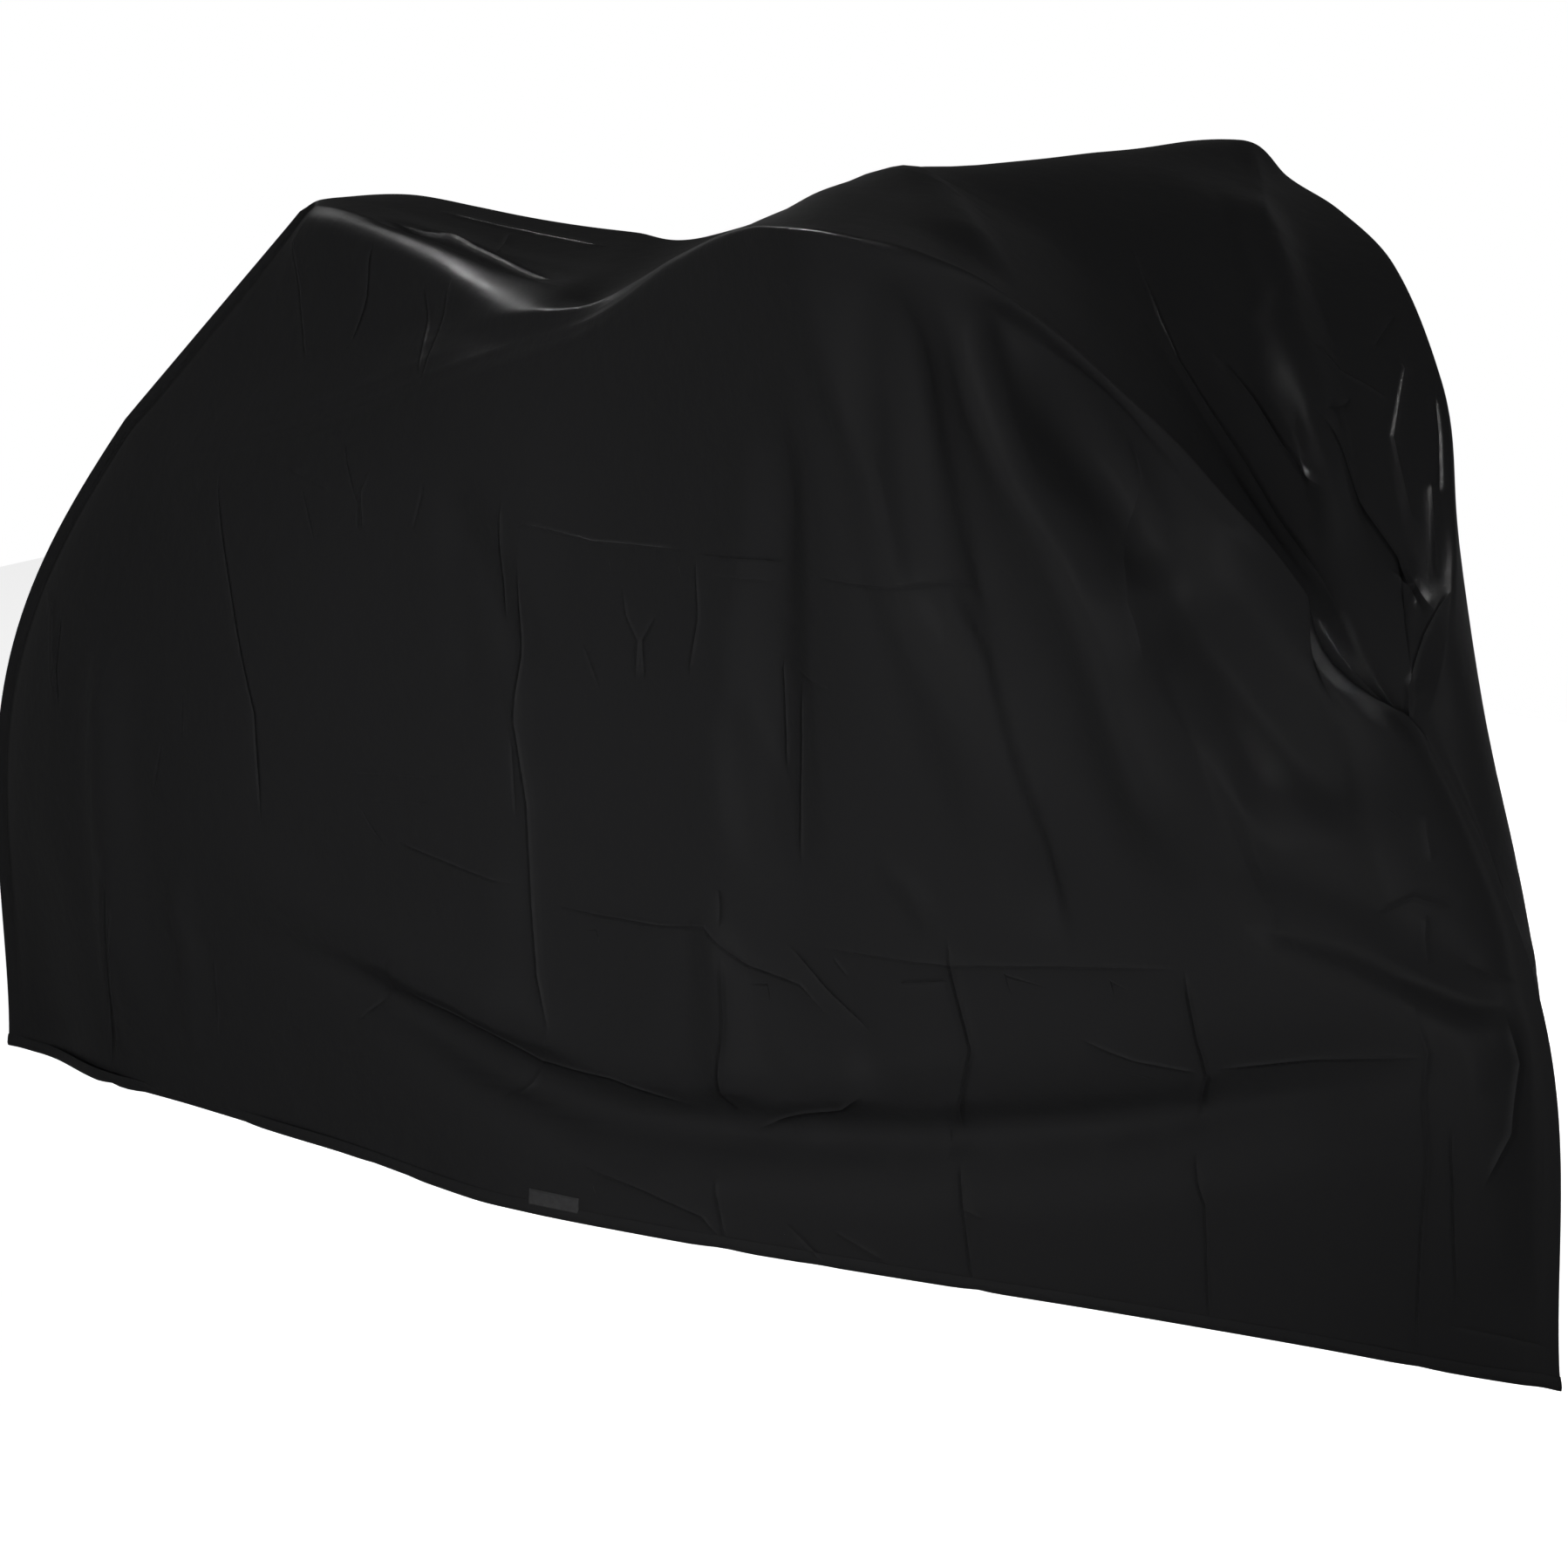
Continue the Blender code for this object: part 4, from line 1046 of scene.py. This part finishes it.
def values_of(items, key, width=1, kind=np.float32):
    """One value for each of a mesh's items, or one row of values."""
    values = np.empty(len(items) * width, kind)
    items.foreach_get(key, values)
    return values if width == 1 else values.reshape(-1, width)


def mesh_normals(mesh):
    return values_of(mesh.vertices, "normal", 3).astype(float)


def set_points(mesh, points):
    mesh.vertices.foreach_set("co", (points - REAR_HUMP_REST).astype(np.float32).ravel())
    mesh.update()


def shared_edges(mesh):
    """Every edge between two faces, with its two faces."""
    loop_edges = values_of(mesh.loops, "edge_index", kind=np.int32)
    corners = values_of(mesh.polygons, "loop_total", kind=np.int32)
    faces = np.repeat(np.arange(len(corners)), corners)
    order = np.argsort(loop_edges, kind="stable")
    pair = np.flatnonzero(loop_edges[order][:-1] == loop_edges[order][1:])
    return loop_edges[order][pair], faces[order][pair], faces[order][pair + 1]


def neighbour_means(points, edges):
    """The mean place of each vertex's neighbours."""
    count = np.bincount(edges.ravel(), minlength=len(points))
    start, end = edges[:, 0], edges[:, 1]
    total = np.empty_like(points)
    for axis in range(3):
        values = points[:, axis]
        total[:, axis] = np.bincount(start, values[end], len(points))
        total[:, axis] += np.bincount(end, values[start], len(points))
    return total / count[:, None]


def relaxed(mesh, points, free):
    """Points evened out at the few spots where the displaced sheet would fold back on itself."""
    edges = values_of(mesh.edges, "vertices", 2, np.int32)
    shared, one_face, other_face = shared_edges(mesh)
    for _ in range(RELAX_ROUNDS):
        set_points(mesh, points)
        normals = values_of(mesh.polygons, "normal", 3)
        cosine = (normals[one_face] * normals[other_face]).sum(axis=1)
        picked = np.zeros(len(points), bool)
        picked[edges[shared[cosine < RELAX_COSINE]].ravel()] = True
        for _ in range(RELAX_RINGS):
            picked[edges[picked[edges].any(axis=1)].ravel()] = True
        picked &= free
        if not picked.any():
            break
        moved = points + RELAX_STEP * (neighbour_means(points, edges) - points)
        points = np.where(picked[:, None], moved, points)
    return points


def lay_flat(mesh, flat):
    """UV in metres of flat cloth: along the sheet, and round it from the near hem."""
    layer = mesh.uv_layers.new(name="cloth")
    corners = values_of(mesh.loops, "vertex_index", kind=np.int32)
    layer.data.foreach_set("uv", flat[corners].astype(np.float32).ravel())


def add_attribute(mesh, name, values):
    layer = mesh.attributes.new(name, "FLOAT", "POINT")
    layer.data.foreach_set("value", values.astype(np.float32))


def linked(name, data):
    thing = bpy.data.objects.new(name, data)
    bpy.context.scene.collection.objects.link(thing)
    return thing


def flat_mesh(name):
    """The sheet's mesh before it gets its form: x is the share along it, and y is the level."""
    shape = fresh_grid()
    for widest, margin in REFINE_PASSES:
        refine(shape, faces_near_creases(shape, widest, margin))
    mesh = bpy.data.meshes.new(name)
    shape.to_mesh(mesh)
    shape.free()
    return mesh


def make_cover(finish):
    """The cover as one thin sheet, with its folds, its creases, its turned-in hem and its pressed seams."""
    mesh = flat_mesh("cover_cloth")
    flat = values_of(mesh.vertices, "co", 3).astype(float)
    lines = Lines(np.clip(flat[:, 0], 0.0, 1.0))
    across, inset, dropped = levels_to_places(lines, flat[:, 1])
    arcs = lines.arc(across)
    points = rolled_crest(lines, across, turned_sheet(lines, across))
    points = turned_lip(lines, across, points)
    set_points(mesh, points)
    masks = part_masks(lines.share, across)
    points = points + mesh_normals(mesh) * fold_lift(points, masks, lines, across)[:, None]
    set_points(mesh, points)
    lift, told = crease_lift(points, masks, lines, across)
    lift += slack_lift(points, lines.share)
    whole = lines.starts[5] + lines.lengths[5]
    from_hem = np.minimum(arcs, whole - arcs)
    lift -= STITCH_GROOVE * np.exp(-(((from_hem - HEM_STITCH_UP) / STITCH_GROOVE_WIDTH) ** 2))
    points = points + mesh_normals(mesh) * lift[:, None]
    points = pressed_seams(lines, across, points)
    set_points(mesh, points)
    points = points - mesh_normals(mesh) * inset[:, None]
    points[:, 2] += dropped
    inner = (lines.share > RELAX_FROM_END) & (lines.share < 1.0 - RELAX_FROM_END)
    points = relaxed(mesh, points, inner & (from_hem > RELAX_FROM_HEM))
    set_points(mesh, points)
    lay_flat(mesh, np.stack((lines.share * CLOTH_LENGTH, arcs), axis=1))
    for name, values in told.items():
        add_attribute(mesh, name, values)
    mesh.polygons.foreach_set("use_smooth", np.ones(len(mesh.polygons), bool))
    mesh.materials.append(finish)
    return linked("cover_cloth", mesh)


def surface_at(shares, arcs):
    """Points of the outer surface, and its outward normals, at shares and distances round the section."""

    def points_at(share, arc):
        lines = Lines(np.clip(share, 0.0, 1.0))
        across = lines.across(arc)
        return pressed_seams(lines, across, turned_sheet(lines, across))

    along = points_at(shares + SMALL_STEP, arcs) - points_at(shares - SMALL_STEP, arcs)
    round_it = points_at(shares, arcs + SMALL_STEP) - points_at(shares, arcs - SMALL_STEP)
    normals = np.cross(along, round_it)
    return points_at(shares, arcs), normals / np.linalg.norm(normals, axis=1)[:, None]


def linked_mesh(name, points, faces, finish):
    mesh = bpy.data.meshes.new(name)
    mesh.from_pydata([tuple(point) for point in points - REAR_HUMP_REST], [], faces)
    mesh.materials.append(finish)
    return linked(name, mesh)


def make_label(finish):
    """The bare tape label: a thin piece that follows the cloth, with a raised stitched border."""
    shares, ups = np.meshgrid(np.linspace(LABEL_START, LABEL_END, LABEL_COLUMNS + 1),
                              np.linspace(LABEL_LOW, LABEL_HIGH, LABEL_ROWS + 1))
    shares, ups = shares.ravel(), ups.ravel()
    points, normals = surface_at(shares, ups)
    from_side = np.minimum(shares - LABEL_START, LABEL_END - shares) * CLOTH_LENGTH
    from_edge = np.minimum(from_side, np.minimum(ups - LABEL_LOW, LABEL_HIGH - ups))
    border = np.exp(-(((from_edge - LABEL_BORDER) / LABEL_BORDER_WIDTH) ** 2))
    full = LABEL_EDGE + (1.0 - LABEL_EDGE) * smooth_step(0.0, LABEL_EDGE_ROUND, from_edge)
    rise = LABEL_LIFT + LABEL_THICKNESS * full + LABEL_BORDER_RISE * border
    front = points + normals * rise[:, None]
    back = points + normals * LABEL_LIFT
    wide, count = LABEL_COLUMNS + 1, len(points)
    faces = []
    for row in range(LABEL_ROWS):
        for column in range(LABEL_COLUMNS):
            corner = row * wide + column
            square = (corner, corner + 1, corner + wide + 1, corner + wide)
            faces.append(square)
            faces.append(tuple(count + index for index in reversed(square)))
    rim = list(range(wide))
    rim += [row * wide + wide - 1 for row in range(1, LABEL_ROWS + 1)]
    rim += [LABEL_ROWS * wide + column for column in range(wide - 2, -1, -1)]
    rim += [row * wide for row in range(LABEL_ROWS - 1, 0, -1)]
    for first, second in zip(rim, rim[1:] + rim[:1]):
        faces.append((second, first, count + first, count + second))
    label = linked_mesh("label_tape", np.concatenate((front, back)), faces, finish)
    lay_flat(label.data, np.stack((np.tile(shares, 2) * CLOTH_LENGTH, np.tile(ups, 2)), axis=1))
    add_attribute(label.data, "border", np.tile(border, 2))
    return label


def stitch_line(start_shares, start_arcs):
    """Evenly spaced places along a line on the sheet, as pairs of shares and distances round the section."""
    points, _ = surface_at(start_shares, start_arcs)
    gone = np.concatenate(([0.0], np.cumsum(np.linalg.norm(np.diff(points, axis=0), axis=1))))
    middles = np.arange(STITCH_SPACING, gone[-1] - STITCH_SPACING, STITCH_SPACING)
    ends = []
    for offset in (-0.5 * STITCH_LENGTH, 0.5 * STITCH_LENGTH):
        place = middles + offset
        ends.append((np.interp(place, gone, start_shares), np.interp(place, gone, start_arcs)))
    return ends


def stitch_lines():
    """The lines of stitches: along both hems, and beside both end seams on both sides."""
    lines = []
    along = np.linspace(SEAM_STITCH_IN, 1.0 - SEAM_STITCH_IN, HEM_SAMPLES)
    whole = Lines(along).arc(np.full(len(along), 2.0 * MIDDLE_LINE))
    lines.append((along, np.full(len(along), HEM_STITCH_UP)))
    lines.append((along, whole - HEM_STITCH_UP))
    for share in (SEAM_STITCH_IN, 1.0 - SEAM_STITCH_IN):
        shares = np.full(SEAM_SAMPLES, share)
        ends = Lines(shares)
        up = np.linspace(SEAM_STITCH_LOW, SEAM_STITCH_HIGH, SEAM_SAMPLES)
        lines.append((shares, ends.arc(up)))
        lines.append((shares, ends.arc(2.0 * MIDDLE_LINE - up)))
    return lines


def make_stitching(finish):
    """Every stitch as a small raised thread, apart from those behind the label or without a direction."""
    points = []
    faces = []
    for shares, arcs in stitch_lines():
        (start_shares, start_arcs), (end_shares, end_arcs) = stitch_line(shares, arcs)
        starts, start_normals = surface_at(start_shares, start_arcs)
        ends, end_normals = surface_at(end_shares, end_arcs)
        behind_label = start_shares > LABEL_START - LABEL_CLEARANCE
        behind_label &= (start_shares < LABEL_END + LABEL_CLEARANCE) & (start_arcs < LABEL_HIGH)
        for start, end, normal, hidden in zip(starts, ends, start_normals + end_normals, behind_label):
            length = np.linalg.norm(normal)
            if hidden or length < SHORTEST:
                continue
            normal = normal / length
            middle = 0.5 * (start + end)
            sideways = np.cross(normal, end - start)
            sideways *= STITCH_HALF_WIDTH / np.linalg.norm(sideways)
            first = len(points)
            sunk = normal * STITCH_SINK
            points += [start - sunk, end - sunk, middle + sideways - sunk, middle - sideways - sunk]
            points.append(middle + normal * STITCH_RISE)
            for corners in ((0, 4, 2), (0, 3, 4), (1, 2, 4), (1, 4, 3), (0, 2, 3), (1, 3, 2)):
                faces.append(tuple(first + corner for corner in corners))
    return linked_mesh("stitching", np.array(points), faces, finish)


# ---------------------------------------------------------------------------------------------------------
# Materials
# ---------------------------------------------------------------------------------------------------------


class Nodes:
    """Short ways to add and join the nodes of one material."""

    def __init__(self, name):
        self.material = bpy.data.materials.new(name)
        self.material.use_nodes = True
        self.tree = self.material.node_tree
        self.shader = self.tree.nodes["Principled BSDF"]

    def add(self, kind, settings=None, **inputs):
        node = self.tree.nodes.new("ShaderNode" + kind)
        for key, value in (settings or {}).items():
            setattr(node, key, value)
        for key, value in inputs.items():
            self.put(node.inputs[key.replace("_", " ")], value)
        return node

    def put(self, socket, value):
        if hasattr(value, "is_output"):
            self.tree.links.new(value, socket)
        else:
            socket.default_value = value

    def noise(self, place, scale, detail=3.0, roughness=0.5):
        node = self.add("TexNoise", Scale=scale, Detail=detail, Roughness=roughness)
        self.put(node.inputs["Vector"], place)
        return node.outputs["Fac"]

    def math(self, operation, first, second=0.0):
        node = self.add("Math", {"operation": operation})
        self.put(node.inputs[0], first)
        self.put(node.inputs[1], second)
        return node.outputs[0]

    def spread(self, value, low, high, new_low, new_high):
        node = self.add("MapRange", Value=value, From_Min=low, From_Max=high, To_Min=new_low, To_Max=new_high)
        return node.outputs["Result"]

    def bump(self, height, distance, strength, normal=None):
        node = self.add("Bump", Height=height, Distance=distance, Strength=strength)
        if normal is not None:
            self.put(node.inputs["Normal"], normal)
        return node.outputs["Normal"]

    def mixed(self, factor, first, second):
        node = self.add("Mix", {"data_type": "RGBA"})
        self.put(node.inputs["Factor"], factor)
        self.put(node.inputs["A"], first)
        self.put(node.inputs["B"], second)
        return node.outputs["Result"]

    def finished(self, tone, rough, normal, specular):
        """The material, with its shader's looks put in."""
        self.put(self.shader.inputs["Base Color"], tone)
        self.put(self.shader.inputs["Roughness"], rough)
        self.put(self.shader.inputs["Normal"], normal)
        self.put(self.shader.inputs["Specular IOR Level"], specular)
        return self.material


def crease_lines(nodes):
    """The height of the sharp lines along the fine creases, and how much paler the raised ones are painted,
    partly as wear and partly as a painted highlight.
    """
    height = None
    paler_share = None
    for channel in range(LINE_CHANNELS):
        across = nodes.add("Attribute", {"attribute_name": f"line_across_{channel}"}).outputs["Fac"]
        rise = nodes.add("Attribute", {"attribute_name": f"line_rise_{channel}"}).outputs["Fac"]
        close = nodes.spread(nodes.math("ABSOLUTE", across), 0.0, LINE_WIDTH, 1.0, 0.0)
        close = nodes.math("MULTIPLY", close, close)
        line = nodes.math("MULTIPLY", close, rise)
        # A raised crease's line is painted paler: partly wear, partly a painted highlight along its crest.
        wear_and_sheen = nodes.math("MULTIPLY", close, nodes.spread(rise, *WEAR_AND_SHEEN_RISE, 0.0, 1.0))
        height = line if height is None else nodes.math("ADD", height, line)
        paler_share = wear_and_sheen if paler_share is None else nodes.math("MAXIMUM", paler_share, wear_and_sheen)
    return height, paler_share


def cloth_finish():
    nodes = Nodes("coated_cloth_finish")
    place = nodes.add("TexCoord").outputs["Object"]
    flat = nodes.add("UVMap", {"uv_map": "cloth"}).outputs["UV"]
    broad = nodes.noise(place, scale=9.0, detail=4.0, roughness=0.55)
    crumple = nodes.noise(place, scale=55.0, detail=3.0)
    fine = nodes.noise(place, scale=260.0, detail=2.0)
    weave = woven(nodes, flat, scale=420.0)
    line, wear_and_sheen = crease_lines(nodes)
    normal = nodes.bump(line, distance=0.8, strength=1.0)
    normal = nodes.bump(crumple, distance=0.0009, strength=0.55, normal=normal)
    normal = nodes.bump(fine, distance=0.0002, strength=0.35, normal=normal)
    normal = nodes.bump(weave, distance=0.00008, strength=0.30, normal=normal)
    rough = nodes.spread(broad, *NOISE_RANGE, *CLOTH_ROUGH)
    rough = nodes.math("ADD", rough, nodes.math("MULTIPLY", wear_and_sheen, WORN_ROUGH))
    # Paler on the threads of the weave, and on the raised fine crease lines, where the paler tone is partly
    # wear and partly a painted highlight.
    paler_share = nodes.math("MAXIMUM", nodes.math("MULTIPLY", weave, WEAVE_TONE), wear_and_sheen)
    return nodes.finished(nodes.mixed(paler_share, CLOTH_TONE, CLOTH_WEAVE_WEAR_AND_SHEEN_TONE), rough, normal, CLOTH_SPECULAR)


def woven(nodes, flat, scale):
    """Threads that cross, from two sets of bands in the cloth's own lengths."""
    bands = []
    for direction in ("X", "Y"):
        band = nodes.add("TexWave", {"wave_type": "BANDS", "bands_direction": direction}, Scale=scale)
        nodes.put(band.inputs["Vector"], flat)
        bands.append(band.outputs["Fac"])
    return nodes.math("MULTIPLY", bands[0], bands[1])


def label_finish():
    nodes = Nodes("label_cloth_finish")
    flat = nodes.add("UVMap", {"uv_map": "cloth"}).outputs["UV"]
    place = nodes.add("TexCoord").outputs["Object"]
    border = nodes.add("Attribute", {"attribute_name": "border"}).outputs["Fac"]
    weave = woven(nodes, flat, scale=520.0)
    soiling = nodes.noise(place, scale=180.0, detail=3.0, roughness=0.6)
    normal = nodes.bump(weave, distance=0.00012, strength=0.6)
    fuzz = nodes.noise(place, scale=700.0, detail=2.0)
    normal = nodes.bump(fuzz, distance=0.0001, strength=0.3, normal=normal)
    soiled = nodes.spread(soiling, *SOILING_RANGE, *SOILING_TONE)
    darker = nodes.math("MULTIPLY", soiled, nodes.spread(weave, 0.0, 1.0, *THREAD_CROSSING_TONE))
    tone = nodes.mixed(nodes.math("MAXIMUM", darker, border), LABEL_TONE, LABEL_DARK)
    return nodes.finished(tone, nodes.spread(soiling, *NOISE_RANGE, *LABEL_ROUGH), normal, LABEL_SPECULAR)


def thread_finish():
    nodes = Nodes("thread_finish")
    place = nodes.add("TexCoord").outputs["Object"]
    fibres = nodes.noise(place, scale=1500.0, detail=2.0)
    normal = nodes.bump(fibres, distance=0.0001, strength=0.5)
    tone = nodes.mixed(nodes.noise(place, scale=35.0, detail=2.0), THREAD_DARK, THREAD_TONE)
    return nodes.finished(tone, nodes.spread(fibres, *NOISE_RANGE, *THREAD_ROUGH), normal, THREAD_SPECULAR)


# ---------------------------------------------------------------------------------------------------------
# Stage, light and camera
# ---------------------------------------------------------------------------------------------------------


def make_floor():
    """The pale ground below the hem."""
    (low_x, low_y), (high_x, high_y) = FLOOR_LOW, FLOOR_HIGH
    corners = [(low_x, low_y), (high_x, low_y), (high_x, high_y), (low_x, high_y)]
    mesh = bpy.data.meshes.new("floor")
    mesh.from_pydata([(x, y, FLOOR_HEIGHT) for x, y in corners], [], [(0, 1, 2, 3)])
    floor = linked("floor", mesh)
    nodes = Nodes("pale_floor")
    nodes.put(nodes.shader.inputs["Base Color"], FLOOR_TONE)
    nodes.put(nodes.shader.inputs["Roughness"], FLOOR_ROUGH)
    nodes.put(nodes.shader.inputs["Emission Color"], WHITE)
    nodes.put(nodes.shader.inputs["Emission Strength"], FLOOR_GLOW)
    mesh.materials.append(nodes.material)
    floor.visible_glossy = False
    floor.visible_diffuse = False


def make_world():
    """A white backing for the camera, and a weak even light for the cloth."""
    world = bpy.data.worlds.new("studio")
    bpy.context.scene.world = world
    world.use_nodes = True
    tree = world.node_tree
    output = tree.nodes["World Output"]
    seen = tree.nodes["Background"]
    seen.inputs["Color"].default_value = WHITE
    lighting = tree.nodes.new("ShaderNodeBackground")
    lighting.inputs["Color"].default_value = WHITE
    lighting.inputs["Strength"].default_value = WORLD_STRENGTH
    paths = tree.nodes.new("ShaderNodeLightPath")
    mix = tree.nodes.new("ShaderNodeMixShader")
    tree.links.new(paths.outputs["Is Camera Ray"], mix.inputs["Fac"])
    tree.links.new(lighting.outputs["Background"], mix.inputs[1])
    tree.links.new(seen.outputs["Background"], mix.inputs[2])
    tree.links.new(mix.outputs["Shader"], output.inputs["Surface"])


def make_lights():
    for lamp in LAMPS:
        light = bpy.data.lights.new(lamp.name, "AREA")
        light.shape = "RECTANGLE"
        light.size = lamp.width
        light.size_y = lamp.length
        light.energy = lamp.power
        light.spread = math.radians(lamp.spread)
        thing = linked(lamp.name, light)
        thing.location = lamp.place
        towards = Vector(lamp.target) - Vector(lamp.place)
        thing.rotation_euler = towards.to_track_quat("-Z", "Y").to_euler()
        thing.visible_camera = False
        thing.visible_glossy = lamp.gives != "soft"
        thing.visible_diffuse = lamp.gives != "shine"


def make_camera():
    data = bpy.data.cameras.new("photo_camera")
    data.sensor_width = 36.0
    data.lens = CAMERA_LENS
    data.clip_end = 100.0
    camera = linked("photo_camera", data)
    camera.location = CAMERA_PLACE
    camera.rotation_euler = (math.radians(CAMERA_TILT), 0.0, math.radians(CAMERA_TURN))
    bpy.context.scene.camera = camera


def main():
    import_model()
    make_camera()
    cloth = cloth_finish()
    cover = make_cover(cloth)
    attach(cover, "root")
    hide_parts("cover")
    label = make_label(label_finish())
    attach(label, "root")
    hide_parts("label")
    stitching = make_stitching(thread_finish())
    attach(stitching, "root")
    make_floor()
    make_world()
    make_lights()
    bpy.context.scene.view_settings.view_transform = "Standard"


main()
